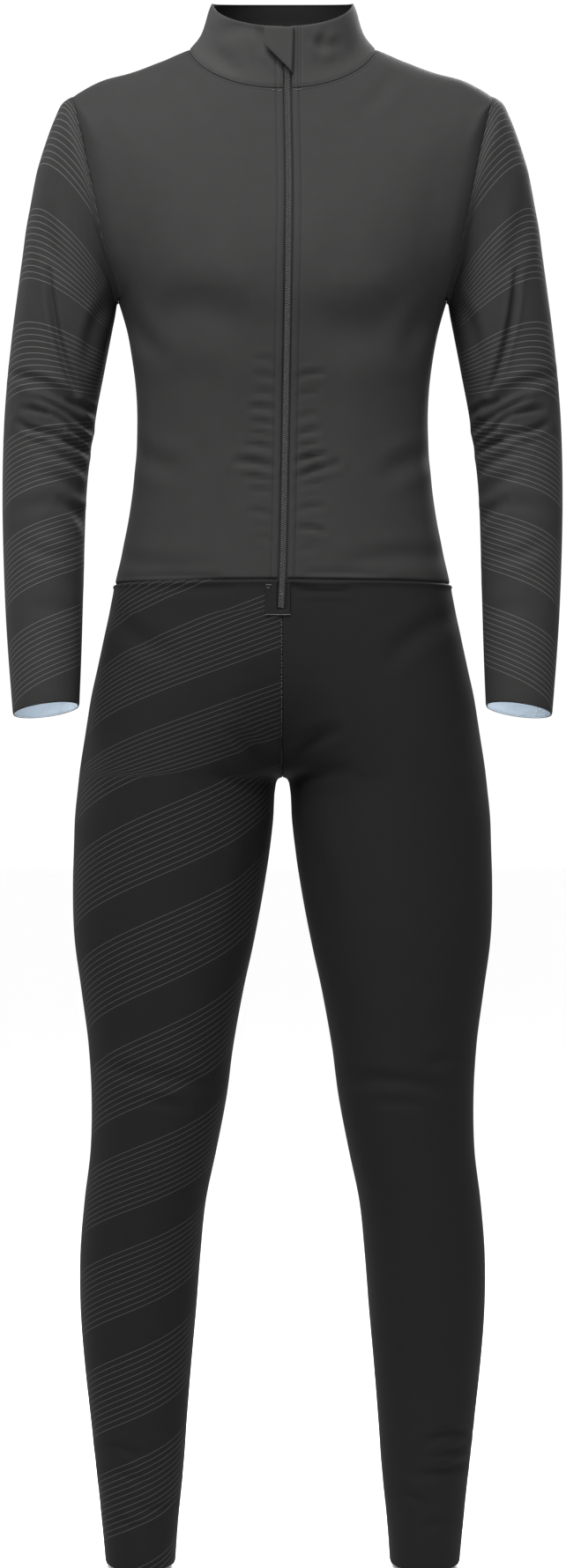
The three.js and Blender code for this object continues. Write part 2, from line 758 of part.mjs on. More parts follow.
// The guard: level along the collar's rim, and cut off slantwise at its foot
function guardMesh(material) {
  const layer = (thick) =>
    steps(0, 1, GUARD.down).map((down) =>
      GUARD.shares.map((share) => {
        const top = rimHeight(GUARD.sewnTopX + (GUARD.freeX - GUARD.sewnTopX) * share);
        const foot = GUARD.sewnFootZ + (GUARD.freeFootZ - GUARD.sewnFootZ) * share;
        const z = top + (foot - top) * down;
        const sewnX = GUARD.sewnTopX + (GUARD.sewnFootX - GUARD.sewnTopX) * down;
        const x = sewnX + (GUARD.freeX - sewnX) * share;
        const rise = (GUARD.raised - GUARD.seat) * fadeIn(share / GUARD.shares[1]);
        return collarFrontAt(x, z, GUARD.seat + rise + GUARD.freeRise * share ** 2 + thick);
      }),
    );
  return namedMesh('zip_guard', wallGeometry(layer(GUARD_WALL), layer(0), false), material);
}

function rimHeight(x) {
  return bodyFrontAt(RIM, x, 0).z - GUARD.topClear;
}

// The patch round the zip's end: two legs and a foot, open at the waist seam
function patchMesh(material) {
  const drops = [PATCH.top, ZIP_MIDDLE, ZIP_END, UNDER_ZIP, PATCH.foot];
  const columns = (drop) => {
    const middle = zipX(WAIST_Z - drop);
    const [right, left] = [middle - PATCH.slotHalf, middle + PATCH.slotHalf];
    return [PATCH.rightX, (PATCH.rightX + right) / 2, right, left, PATCH.leftX];
  };
  const layer = (out) => drops.map((drop) => columns(drop).map((x) => legFrontAt(drop, x, out)));
  const isSlot = (r, c) => c === 2 && r < 2;
  const geometry = wallGeometry(
    layer(PATCH.seat + PATCH_WALL),
    layer(PATCH.seat),
    false,
    isSlot,
  );
  return namedMesh('zip_end_patch', geometry, material);
}

const upperKnit = () => finish(0x454547, 0.62);
const lowerKnit = () => finish(0x2e2e31, 0.6);
const coilPlastic = () => finish(0x4c4c4f, 0.45);
const darkMetal = () => finish(0x2b2b2d, 0.35, 0.6);

const frontRows = (hand) => relaxed(BODY_LEVELS.map((level) => frontRow(level, hand)));
const legFrontRows = (hand) => LEG_DROPS.map((drop) => legFrontRow(drop, hand));
const sleeve = sleeveRows();
const legBack = relaxed(LEG_DROPS.map(legBackRow));

sheet('front_left', upperKnit(), frontRows(1), 0);
sheet('front_right', upperKnit(), mirroredRows(frontRows(-1)), 0);
sheet('back', upperKnit(), relaxed(BODY_LEVELS.map(backRow)), 0);
sheet('collar', upperKnit(), COLLAR_LEVELS.map(collarRow), 0);
sheet('sleeve_left', upperKnit(), sleeve, SLEEVE_AXIS, true);
sheet('sleeve_right', upperKnit(), mirroredRows(sleeve), -SLEEVE_AXIS, true);
sheet('leg_front_left', lowerKnit(), legFrontRows(1), LEG_AXIS);
sheet('leg_front_right', lowerKnit(), mirroredRows(legFrontRows(-1)), -LEG_AXIS);
sheet('leg_back_left', lowerKnit(), legBack, LEG_AXIS);
sheet('leg_back_right', lowerKnit(), mirroredRows(legBack), -LEG_AXIS);
shareSeams(sheets);

const suit = new THREE.Group();
suit.name = 'ski_suit';
sheets.forEach((piece) => suit.add(clothMesh(piece)));
suit.add(zipChain(coilPlastic()));
suit.add(plateMesh('zip_slider', SLIDER, darkMetal()));
suit.add(plateMesh('zip_pull', TAB, darkMetal()));
suit.add(guardMesh(upperKnit()));
suit.add(patchMesh(lowerKnit()));

export default suit;
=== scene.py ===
"""Cross-country ski suit: a one-piece racing suit of stretch knit, hollow and in its worn shape."""
import math

import bpy
import numpy as np
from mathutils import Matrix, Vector


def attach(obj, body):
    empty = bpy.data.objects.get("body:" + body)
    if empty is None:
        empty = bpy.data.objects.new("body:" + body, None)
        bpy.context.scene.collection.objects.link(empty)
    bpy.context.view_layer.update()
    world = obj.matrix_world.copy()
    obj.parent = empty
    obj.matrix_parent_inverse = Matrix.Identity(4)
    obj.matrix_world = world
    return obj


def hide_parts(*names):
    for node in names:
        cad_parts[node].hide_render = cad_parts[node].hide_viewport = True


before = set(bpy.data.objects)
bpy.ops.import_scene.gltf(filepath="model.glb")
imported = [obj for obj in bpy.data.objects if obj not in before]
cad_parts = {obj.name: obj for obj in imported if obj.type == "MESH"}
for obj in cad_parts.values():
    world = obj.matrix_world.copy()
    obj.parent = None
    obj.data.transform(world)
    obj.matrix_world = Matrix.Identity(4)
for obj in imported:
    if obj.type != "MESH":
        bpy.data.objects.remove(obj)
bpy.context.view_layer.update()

# Sizes are in millimetres until a mesh is made. +X is the wearer's left and -Y the front.
MM = 0.001

# Cloth: the real knit's thickness, and the finest spacing of its points
KNIT = 0.9
CELL = 3.4
FINE_CELL = 2.7
COARSE_CELL = 4.2
COLLAR_CELL = 2.6

# The solids' own divisions, levels and angles
QUARTER = 10
SLEEVE_FACES = 20
UNDERARM = 5
SHOULDER_TIP = 6
NECK = 8
RIM = 11
ARMHOLE_FRONT = 28
ARMHOLE_BACK = 30
ARMHOLE_ROUND = 0.85
SLEEVE_AXIS = 205
SLEEVE_BELOW_CAP = 6
LEG_AXIS = 125
CHEST = {"x": 72, "z": -190, "wide": 58, "high": 50, "deep": 8}
WAIST_Z = -471
CROTCH = 174.6
ZIP_MIDDLE = 13.5
ZIP_END = 27
UNDER_ZIP = 29
CHAIN_EDGE = 3.75
RELAX = {"passes": 8, "held": 1, "strips": 2, "pull": 0.5}
UNDERARM_ROW = 9
TIP_ROW = UNDERARM_ROW + SLEEVE_FACES // 2
YOKE_STRIPS = 4
COLLAR_STRIPS = 4
CURVE_SAMPLES = 121


def table(names, rows):
    """Rows of numbers as named columns."""
    return dict(zip(names.split(), np.array(rows, float).T))


# The body's rings, from the waist seam up to the collar's rim
BODY = table("level sideX sideY sideZ frontY frontZ backY backZ round fall", [
    [0, 152, 0, -471, -103, -471, 104, -471, 2.25, 1],
    [1, 140.2, 0, -415, -99.5, -415, 93, -415, 2.28, 1],
    [2, 133.8, 0, -365, -97.5, -365, 87, -365, 2.32, 1],
    [3, 132, 1, -315, -99, -315, 87, -315, 2.36, 1],
    [4, 136.6, 3, -266, -105, -266, 93, -264, 2.45, 1],
    [5, 149, 5, -214, -110, -216, 101, -211, 2.6, 1],
    [5.25, 170, 7, -165, -109, -186, 107, -172, 2.75, 1.15],
    [5.5, 183, 7, -112, -104, -155, 108, -132, 2.8, 1.35],
    [5.75, 189.5, 6, -62, -96, -125, 104, -94, 2.75, 1.55],
    [6, 190, 3, -27, -87, -97, 97, -58, 2.6, 1.7],
    [7, 137, 1, -5.7, -76, -63, 82, -19, 2.35, 1.6],
    [8, 84.5, -2, 15, -66, -31.5, 62, 20, 2.15, 1.3],
    [9, 72.4, -6, 31, -67.5, -13, 56.5, 36, 2.1, 1.15],
    [10, 68, -9, 45, -70, 5.5, 53, 51.5, 2.1, 1.1],
    [11, 64, -11, 55, -72.5, 22.5, 50.5, 65.5, 2.1, 1.1],
])

# One leg's rings, by distance below the waist seam
LEG = table("drop outer inner frontY backY round soften tilt", [
    [0, 152, -152, -103, 104, 2.25, 0, 0],
    [34, 159, -124, -103.5, 114, 2.22, 6, 0],
    [69, 166.8, -86, -102, 121, 2.18, 11, 0],
    [104, 174.8, -45, -99, 124.5, 2.14, 14, 0],
    [134, 179.8, -12, -96, 123, 2.1, 16, 0],
    [157, 183.6, 5, -93.5, 120, 2.06, 16, 0],
    [168, 185.2, 11.6, -92.5, 118.5, 2.04, 16, 0],
    [174.6, 186, 16, -92, 117, 2.02, 16, 0],
    [184, 187, 17.3, -91.5, 115, 2, 16, 0],
    [209, 189.4, 17, -90.5, 109, 2, 15, 0],
    [239, 190.2, 17.1, -89.5, 102, 2, 13, 0],
    [274, 190.8, 19.3, -88.5, 95, 2, 10, 0],
    [319, 189.2, 25.5, -86.5, 87.5, 2, 6, 0],
    [369, 182.4, 35.6, -83, 80, 2, 2, 0],
    [419, 175.8, 44.5, -78.5, 73, 2, 0, 0],
    [469, 173.2, 51.3, -73.5, 67.5, 2, 0, 0],
    [514, 174.4, 60, -68, 67, 2, 0, 0],
    [559, 180, 69.3, -61, 71, 2, 0, 0],
    [609, 184.2, 74.5, -52.5, 75, 2, 0, 0],
    [659, 184.2, 78.4, -44, 75, 2, 0, 0],
    [709, 180.6, 82.8, -35.5, 71, 2, 0, 0.01],
    [759, 175.2, 86.8, -28.5, 66, 2, 0, 0.02],
    [809, 169.7, 90.5, -23, 62, 2, 0, 0.035],
    [854, 165, 95, -19, 59.5, 2, 0, 0.06],
    [890, 161.6, 97.6, -17, 58, 2, 0, 0.08],
])

# One sleeve's sections, from just outside the armhole to the cuff
SLEEVE = table("section outerX outerZ innerX innerZ frontY backY lift", [
    [1, 199.5, -33.5, 150.4, -217.5, -53, 59, 0],
    [2, 206.5, -47, 151.2, -222, -51, 58, 0],
    [3, 214.5, -68, 152.2, -228, -49.5, 57, 0],
    [4, 223.5, -98, 154, -237, -48, 56, 0],
    [5, 230, -132, 156.5, -249.5, -46.5, 55, 0],
    [6, 235.5, -168, 159.5, -265, -45, 54, 0],
    [7, 240.5, -204, 162.5, -281, -43, 53, 0],
    [8, 245, -238, 165.5, -296, -41, 52, 0],
    [9, 248.2, -266, 168, -309, -39.5, 51, 0],
    [10, 250.4, -288, 169.8, -320, -38.5, 50, 0.3],
    [11, 251.8, -305, 171.2, -330, -38, 49.2, 0.7],
    [12, 252.8, -321, 172.6, -340, -37.8, 48.2, 1.2],
    [13, 253.5, -338, 174.2, -352, -38.2, 46.8, 1.8],
    [14, 254, -360, 176.2, -369, -39.6, 44.4, 2.7],
    [15, 254, -390, 178, -395, -42.6, 39.6, 4],
    [16, 253.3, -424, 178.9, -425, -46.6, 33, 5.2],
    [17, 251.9, -460, 179.5, -459, -51, 25, 6],
    [18, 250, -496, 180.1, -493, -55.6, 16.5, 6.2],
    [19, 247.4, -532, 180.8, -528, -60.2, 7.8, 6],
    [20, 244.6, -564, 181.6, -558, -64, 0, 5.7],
    [21, 242.2, -590, 182.4, -581.5, -66.5, -6, 5.5],
])

ZIP_LINE = table("z x", [
    [-500, -1.4], [-460, 0.4], [-380, 2], [-290, 3.6], [-200, 5], [-120, 5.8], [-20, 4.4], [60, 4.4],
])

# Folds, each a soft trough from one end to the other, placed as the camera sees the front or as
# the back lies. bow lifts its middle, wide is its half width, and ridge is the share of its depth
# that swells beside it. FOLD_SHAPE says how all of them fade where the cloth turns aside and at
# their tips, and where the ridge lies, in half widths.
FOLD_COLUMNS = "x1 z1 x2 z2 bow wide deep ridge"
FOLD_SHAPE = {"aside": 0.05, "turning": 0.3, "tip": 0.04, "ridgeAt": 1.9, "ridgeWide": 0.9}

# Sleeves, for the wearer's left, with the front's folds taken from the outer side inward
SLEEVE_FRONT_FOLDS = table(FOLD_COLUMNS, [
    [213, -186, 187, -297, -5, 3.2, 5.6, 0.2],
    [244, -281, 185, -309, 5, 4.2, 3.8, 0.3],
    [233, -291, 184, -315, 4, 2.8, 3.4, 0.4],
    [221, -301, 173, -331, 2, 3, 3, 0.5],
    [236, -311, 214, -315, 1, 2.8, 2.8, 0.5],
    [214, -314, 191, -331, 3, 2.8, 2.6, 0.5],
    [240, -324, 202, -333, -3, 3, 3.4, 0.5],
    [193, -304, 168, -317, 1, 3, 2.2, 0.4],
    [197, -330, 173, -345, 2, 2.6, 2.4, 0.5],
    [212, -337, 175, -352, 3, 3.4, 3.8, 0.4],
    [228, -342, 206, -348, 2, 3, 1.6, 0.5],
    [222, -350, 178, -370, 4, 3.4, 1.8, 0.5],
    [214, -372, 184, -388, 3, 5, 1.9, 0.5],
    [200, -397, 178, -418, 3, 5, 2.2, 0.5],
    [238, -404, 206, -398, 3, 6, 1.2, 0.5],
    [232, -436, 196, -446, -3, 6, 1.4, 0.5],
    [226, -492, 190, -498, 3, 7, 0.9, 0.4],
    [222, -110, 203, -186, -4, 8, 1.8, 0.4],
    [160, -214, 176, -268, 4, 6, 2.2, 0.4],
])
SLEEVE_BACK_FOLDS = table(FOLD_COLUMNS, [
    [172, -226, 196, -292, -5, 6, 3.5, 0.4],
    [244, -296, 206, -312, 4, 6, 4.2, 0.5],
    [240, -322, 196, -334, -3, 5, 3.8, 0.5],
    [236, -344, 206, -352, 3, 5, 2.9, 0.5],
    [206, -318, 176, -346, 5, 5, 3.5, 0.5],
    [232, -388, 200, -396, 3, 6, 1.9, 0.5],
    [224, -118, 196, -176, 4, 8, 1.9, 0.4],
    [214, -452, 188, -462, 2, 6, 1.6, 0.5],
])

# Fronts: puckers beside the zip, drag lines under the arms and above the waist
FRONT_FOLDS = table(FOLD_COLUMNS, [
    [14, -282, 38, -279, 1.5, 2.8, 1.7, 0.7],
    [14, -299, 32, -297, 1, 2.6, 1.1, 0.7],
    [14, -319, 32, -316, 1, 2.6, 1.2, 0.7],
    [14, -335, 33, -331, 1, 2.8, 1.7, 0.7],
    [14, -346, 32, -344, 0.8, 2.6, 1.5, 0.7],
    [14, -359, 40, -354, 2, 3.4, 2.6, 0.7],
    [14, -374, 50, -361, 2, 3.6, 2.2, 0.7],
    [14, -382, 34, -378, 1, 2.8, 1.4, 0.7],
    [14, -403, 38, -400, 1, 2.8, 1.5, 0.7],
    [14, -420, 38, -423, 1.5, 3, 2.1, 0.7],
    [13, -441, 30, -439, 1, 2.6, 0.8, 0.7],
    [-8, -268, -26, -266, 1, 2.6, 0.9, 0.7],
    [-8, -283, -26, -281, 1, 2.6, 1.2, 0.7],
    [-8, -298, -26, -297, 1, 2.6, 1.1, 0.7],
    [-9, -312, -30, -310, 1, 2.8, 1.7, 0.7],
    [-9, -326, -28, -324, 1, 2.6, 1.4, 0.7],
    [-9, -336, -30, -334, 1, 2.6, 1.2, 0.7],
    [-10, -347, -32, -344, 1, 2.8, 1.5, 0.7],
    [-10, -364, -42, -359, 1.5, 3.6, 2.4, 0.7],
    [-10, -376, -34, -373, 1, 2.8, 1.3, 0.7],
    [-10, -387, -28, -385, 1, 2.8, 1, 0.7],
    [-10, -408, -30, -404, 1, 3, 1.3, 0.7],
    [-10, -431, -24, -429, 1, 2.6, 0.8, 0.7],
    [34, -238, 112, -222, -9, 21, 4.2, 0.3],
    [-30, -238, -112, -222, 9, 21, 4.2, 0.3],
    [146, -214, 112, -262, 5, 9, 2.6, 0.3],
    [-146, -214, -112, -262, -5, 9, 2.6, 0.3],
    [137, -352, 92, -372, 3, 9, 2, 0.4],
    [-137, -346, -96, -366, -3, 9, 1.8, 0.4],
    [146, -446, 60, -452, 4, 8, 1.6, 0.4],
    [-146, -448, -70, -455, -4, 8, 1.5, 0.4],
    [104, -2, 70, -40, -4, 7, 1.3, 0.3],
    [-104, -2, -70, -40, 4, 7, 1.3, 0.3],
    [-146, -465, -58, -464, 1, 3.2, 1.3, 0.5],
    [22, -460, 92, -462, 1, 2.8, 1, 0.5],
])
BACK_FOLDS = table(FOLD_COLUMNS, [
    [150, -208, 104, -262, 6, 9, 3.3, 0.3],
    [-150, -208, -108, -256, -6, 9, 3, 0.3],
    [96, -330, -20, -344, -6, 9, 3, 0.4],
    [70, -366, -84, -360, 6, 10, 3.3, 0.4],
    [104, -392, 10, -404, 4, 8, 2.4, 0.4],
    [-20, -396, -112, -386, -4, 8, 2.4, 0.4],
    [112, -432, 30, -440, -3, 7, 1.8, 0.4],
    [-18, -436, -104, -428, 3, 7, 1.7, 0.4],
    [60, 0, 40, -48, 3, 7, 1.4, 0.3],
    [-60, 0, -40, -48, -3, 7, 1.4, 0.3],
])

# Legs: creases fanning from the crotch, at the knees and at the ankles
LEG_FRONT_FOLDS = table(FOLD_COLUMNS, [
    [8, -472.4, 62, -474.6, -1.4, 2.2, 2.4, 0.8],
    [-120, -477, -44, -474, 1, 2.4, 1.2, 0.6],
    [4, -626, 48, -604, 3, 6, 3, 0.4],
    [-4, -626, -44, -606, -3, 6, 2.8, 0.4],
    [10, -650, 60, -638, 3, 6, 2, 0.4],
    [-10, -652, -56, -642, -3, 6, 2, 0.4],
    [152, -500, 96, -540, 4, 9, 2, 0.3],
    [-152, -500, -100, -536, -4, 9, 1.9, 0.3],
    [22, -700, 40, -790, 4, 11, 2.4, 0.3],
    [-22, -700, -40, -790, -4, 11, 2.4, 0.3],
    [60, -920, 148, -928, 2, 7, 2.4, 0.3],
    [-62, -926, -146, -918, 2, 7, 2.2, 0.3],
    [84, -940, 128, -943, 1, 5, 1.6, 0.4],
    [-90, -944, -130, -940, 1, 5, 1.5, 0.4],
    [166, -900, 134, -908, 3, 6, 1.6, 0.4],
    [-166, -904, -134, -912, -3, 6, 1.6, 0.4],
    [168, -1240, 132, -1249, 3, 4, 2.6, 0.5],
    [166, -1252, 138, -1262, -2, 3.6, 2, 0.5],
    [164, -1268, 122, -1279, -3, 4.2, 2.8, 0.5],
    [-164, -1252, -130, -1262, 3, 4.2, 2.4, 0.5],
    [-163, -1276, -126, -1288, 3, 4.2, 2.2, 0.5],
    [102, -1296, 132, -1306, 2, 4, 2.2, 0.5],
    [-100, -1302, -130, -1312, -2, 4, 2, 0.5],
    [158, -1320, 126, -1329, 2, 4, 1.8, 0.5],
    [-158, -1316, -128, -1326, -2, 4, 1.8, 0.5],
])
LEG_BACK_FOLDS = table(FOLD_COLUMNS, [
    [14, -640, 92, -672, -8, 8, 3.4, 0.4],
    [-14, -640, -88, -676, 8, 8, 3.4, 0.4],
    [30, -690, 118, -700, -5, 8, 2, 0.4],
    [-30, -688, -112, -702, 5, 8, 2, 0.4],
    [70, -894, 158, -904, 4, 7, 2.5, 0.5],
    [60, -918, 150, -912, -4, 7, 2.8, 0.5],
    [78, -944, 164, -952, 4, 7, 2.2, 0.5],
    [-68, -898, -156, -892, 4, 7, 2.5, 0.5],
    [-62, -922, -154, -928, -4, 7, 2.8, 0.5],
    [-80, -950, -160, -944, 4, 7, 2.1, 0.5],
    [102, -1262, 160, -1274, 3, 6, 1.8, 0.5],
    [106, -1298, 158, -1290, -3, 6, 1.7, 0.5],
    [-100, -1258, -158, -1266, 3, 6, 1.8, 0.5],
    [-104, -1292, -160, -1300, -3, 6, 1.7, 0.5],
    [108, -1326, 150, -1332, 2, 5, 1.3, 0.5],
    [-106, -1322, -152, -1330, 2, 5, 1.3, 0.5],
])
COLLAR_FRONT_FOLDS = table(FOLD_COLUMNS, [
    [26, 24, 50, 20, -3, 5, 1.4, 0.4],
    [38, 30, 36, 12, 2, 4, 1.2, 0.4],
    [-42, 38, -17, 27, 2, 5, 1.2, 0.3],
    [-60, 14, -40, -6, -2, 6, 0.8, 0.3],
    [-19, 40, -19.5, 17, 0, 4.5, 2.2, 0.2],
    [-17, 19, 5, -7, 0, 3, 1.7, 0.3],
    [-58, 32, -30, 28, 2, 7, 1.4, 0.3],
])
COLLAR_BACK_FOLDS = table(FOLD_COLUMNS, [
    [30, 38, -24, 40, 2, 5, 0.8, 0.3],
    [-40, 34, -62, 22, 2, 5, 0.7, 0.3],
])

# Seams: how far in from an edge, how wide and how deep each groove beside it is. Edges nearer than
# MEETING to each other are sewn together.
MEETING = 4.5
SEAM_ROW = 2.4
ZIP_ROW = 6.75
COLLAR_ROWS = (2.3, 8.7)
SEAM_GROOVES = ((0, 1.0, 0.8), (SEAM_ROW, 0.6, 0.35))
WAIST_GROOVE = (0, 1.3, 1.5)
WAIST_LIP = (2.6, 1.8, -1.3)
HEM_GROOVE = (0, 1.1, 0.5)
ZIP_GROOVE = (0, 1.0, 1.1)
ZIP_FURROW = {"wide": 0.6, "deep": 0.55}
ZIP_PAD = {"high": 0.35, "flat": 4.5, "fade": 2}

# Rows of points that follow an edge, and the shares of a cell left free beside them
EDGE_CELL = {"most": 0.9, "clear": 0.3}
NEAR_SEAM = (0, 0.7, 1.5, 2.1, 2.7, 3.6, 5)
NEAR_ZIP = (0, 0.7, 1.6, 3.2, 5.2, 6.3, 6.75, 7.2, 8.4)
NEAR_COLLAR = (0, 0.7, 1.4, 1.9, 2.3, 2.7, 3.6, 5.2, 6.3, 6.75, 7.2, 8.2, 8.7, 9.2, 10)

# Measuring: steps along lines and over the surface, and the least length that counts
LINE_STEP = 1.0
LINE_PART = 64
ANGLE_STEP = 0.5
LEVEL_STEP = 0.01
DROP_STEP = 0.5
HALVINGS = 26
CORNER_FADE = 3
SAME_ROW = 1e-6
LEAST_STEP = 1e-3
LEAST_NORMAL = 1e-9

# Thread of the stitches: each is a low bead of five points
STITCH = {"pitch": 2.6, "long": 2.1, "wide": 0.56, "high": 0.3}
BEAD_POINTS = 5
BEAD_FACES = [(0, 1, 2), (0, 2, 3), (1, 4, 2), (2, 4, 3), (0, 3, 4, 1)]
THREAD_RISE = 0.1
THREAD_SUNK = 0.5
EDGE_SEARCH = 8
TACK_SAMPLES = 12
LOOK_AHEAD = 0.2

# Zip: its coil and tape, the pale tacks, the guard over its top and the patch round its end
ZIP_TOP = 10.85
ZIP_FOOT_CLEAR = 0.6
ZIP_SAMPLES = {"body": 80, "leg": 8, "below": 2}
COIL = {
    "pitch": 1.45, "near": -0.35, "far": 2.6, "thick": 1.15, "proud": 0.85, "slant": 0.35,
    "base": -0.25, "clear": 1,
}
# A turn's arch, as places along and above it, its ends, as reach and size, and each row's start
COIL_ARCH = [(-0.5, 0), (-0.38, 0.62), (0, 1), (0.38, 0.62), (0.5, 0)]
COIL_ENDS = [(COIL["near"], 0.55), (0.35, 1), (COIL["far"] - 0.5, 1), (COIL["far"], 0.7)]
COIL_STARTS = {-1: 0.25, 1: 0.75}
TAPE = {"start": 0.2, "step": 3, "cell": 1.6, "thick": 0.5}
TAPE_SIDE = [(-9, -2.1), (-6.5, -2), (-4.6, -1.9), (-3.9, -1.2), (-3.3, -0.45), (-1.6, -0.2), (0, -0.2)]
TACK = {"pitch": 0.8, "long": 1.1, "wide": 0.45, "high": 0.35}
FLECK = {"pitch": 2.5, "long": 1.3, "wide": 0.5, "high": 0.3}
TACKS = table("x1 z1 x2 z2 out", [
    [-9.6, -33.2, -6.2, -33.8, 0.5],
    [-4.4, -34, -0.6, -33.8, 0.5],
    [10, -33.4, 17, -32.6, 0.5],
    [-14.6, -476.4, -9.6, -476.4, 1.8],
    [-14.2, -479, -10.8, -479, 1.5],
    [-2.6, -484.6, 1.8, -484.6, 0.5],
    [-15.5, -502.6, 7, -502.6, 1.5],
])
CENTRE_FLECKS = {"x": -0.7, "from": -508, "to": -634, "pitch": 6, "long": 5.2}
GUARD = {
    "sewnTopX": 10.6, "sewnFootX": 9.2, "freeX": -15.3, "topClear": 0.6, "wall": 1.2,
    "sewnFootZ": -18.5, "freeFootZ": 6.6, "seat": 0.3, "raised": 2.3, "freeRise": 1.9, "cell": 1,
}
GUARD_FOLD = ((0, 0.9, 0.45), (2.2, 0.6, 0.1))
GUARD_SEAM = (0, 0.7, 0.6)
GUARD_SHARES = (0, 0.07, 0.2, 0.36, 0.52, 0.68, 0.84, 1)
GUARD_DOWN = 6
PATCH = {
    "rightX": -15.5, "leftX": 7.4, "slotHalf": 4.3, "top": 1, "foot": 32.5, "seat": 0.3,
    "rows": 29, "columns": 22, "wall": 0.55, "thick": 0.7,
    "roll": 0.5, "rollAt": 1.1, "rollWide": 0.6, "rimWide": 0.45,
}

# Pinstripes in even groups, all slanting one way round the limb
STRIPES = {"group": 93.6, "share": 0.667, "pitch": 5.2, "line": 0.62, "soft": 0.3, "slope": -0.42}

# Looks: the knit's loops, its mottling and sheen, and the grain of plastic, thread and metal
LOOPS = {"wale": 1.15, "course": 0.85, "lean": 1.2, "waleHigh": 0.6, "courseHigh": 0.28}
# The knit's looks hold a painted highlight: the share, level and added grey of a lighter stitch top
KNIT_LOOK = {
    "rough": 0.72, "roughSpread": 0.12, "sheen": 0.005, "spread": 0.12,
    "mottle": 0.045, "grain": 0.9, "mottled": 0.55, "grainHigh": 0.5,
    "raised": 0.16, "loopHighlightLevel": 1.6, "loopHighlightMore": 4, "printed": 0.85,
    "bump": 0.00012, "bumpShare": 0.35,
}
PLAIN_LOOK = {"specular": 0.12, "grain": 900, "spread": 0.14, "bump": 0.00004, "bumpShare": 0.4}
SHEEN_TINT = (0.8, 0.82, 0.86)
SHEEN_ROUGHNESS = 0.45
NOISE_ROUGHNESS = 0.6

# Camera and room
CAMERA = {"x": 0.4, "y": -3600, "z": -652, "lens": 91.01, "sensor": 36, "far": 50000}
SOFTBOXES = [
    ("key", (-500, -1300, 1500), (0, 0, -250), 1100, 52, 80),
    ("fill", (1500, -1500, 700), (0, 0, -400), 1300, 10, 120),
    ("back_key", (900, 1900, 900), (0, 0, -350), 1100, 38, 90),
    ("back_fill", (-1700, 1300, 300), (0, 0, -550), 1000, 14, 120),
]
SOFTBOX_TALL = 1.3
ROOM_LIGHT = 1.04
FLOOR = {"z": -1366, "reach": 30000, "level": 249, "spread": 1, "grain": 14, "rough": 0.9}


def smooth(rows, key, name, at):
    """A column's value between the rows, on a smooth curve through them."""
    keys, values = rows[key], rows[name]
    at = np.clip(np.asarray(at, float), keys[0], keys[-1])
    slopes = np.empty_like(values)
    slopes[1:-1] = (values[2:] - values[:-2]) / (keys[2:] - keys[:-2])
    slopes[0] = (values[1] - values[0]) / (keys[1] - keys[0])
    slopes[-1] = (values[-1] - values[-2]) / (keys[-1] - keys[-2])
    place = np.clip(np.searchsorted(keys, at, side="left"), 1, len(keys) - 1)
    span = keys[place] - keys[place - 1]
    t = (at - keys[place - 1]) / span
    return hermite(values[place - 1], values[place], slopes[place - 1] * span, slopes[place] * span, t)


def hermite(start, end, start_slope, end_slope, t):
    t2, t3 = t * t, t * t * t
    return (
        start * (2 * t3 - 3 * t2 + 1)
        + end * (3 * t2 - 2 * t3)
        + start_slope * (t3 - 2 * t2 + t)
        + end_slope * (t3 - t2)
    )


def smoothstep(share):
    share = np.clip(share, 0, 1)
    return share * share * (3 - 2 * share)


def mix(start, end, share):
    return start + (end - start) * share


def signed_power(value, power):
    return np.sign(value) * np.abs(value) ** power


def ring_points(ring, angles):
    """Points of a ring: angle 0 is the front, 90 the outer side and 180 the back."""
    angles = np.radians(angles)
    across, ahead = np.sin(angles), np.cos(angles)
    along = np.abs(ahead) ** (2 / ring["round"])
    end_y = np.where(ahead >= 0, ring["frontY"], ring["backY"])
    end_z = np.where(ahead >= 0, ring["frontZ"], ring["backZ"])
    return np.stack([
        ring["midX"] + ring["halfX"] * signed_power(across, 2 / ring["round"]),
        ring["sideY"] + (end_y - ring["sideY"]) * along,
        ring["sideZ"] + (end_z - ring["sideZ"]) * along ** ring["fall"],
    ], axis=-1)


def angle_at(ring, x):
    share = np.clip((x - ring["midX"]) / ring["halfX"], -1, 1)
    return float(np.degrees(np.arcsin(signed_power(share, ring["round"] / 2))))


def body_ring(level):
    ring = {name: float(smooth(BODY, "level", name, level)) for name in BODY if name != "level"}
    ring.update(midX=0.0, halfX=ring["sideX"])
    return ring


def body_points(level, angles):
    angles = np.asarray(angles, float)
    points = ring_points(body_ring(level), angles)
    besides = (np.abs(points[:, 0]) - CHEST["x"]) / CHEST["wide"]
    above = (points[:, 2] - CHEST["z"]) / CHEST["high"]
    swell = CHEST["deep"] * np.cos(np.radians(angles)) * np.exp(-besides ** 2 - above ** 2)
    points[:, 1] -= np.where(np.abs(angles) < 90, swell, 0)
    return points


def leg_ring(drop):
    value = {name: float(smooth(LEG, "drop", name, drop)) for name in LEG if name != "drop"}
    middle = (value["frontY"] + value["backY"]) / 2
    side_y = 0.0 if drop < ZIP_END else middle * float(smoothstep((drop - ZIP_END) / CROTCH))
    z = WAIST_Z - drop
    ring = {
        "midX": (value["outer"] + value["inner"]) / 2,
        "halfX": (value["outer"] - value["inner"]) / 2,
        "sideY": side_y,
        "sideZ": z,
        "frontY": value["frontY"],
        "frontZ": z + value["tilt"] * (value["frontY"] - side_y),
        "backY": value["backY"],
        "backZ": z + value["tilt"] * (value["backY"] - side_y),
        "round": value["round"],
        "fall": 1,
        "soften": value["soften"],
    }
    ring["start"] = angle_at(ring, value["soften"]) if drop < CROTCH else -90.0
    return ring


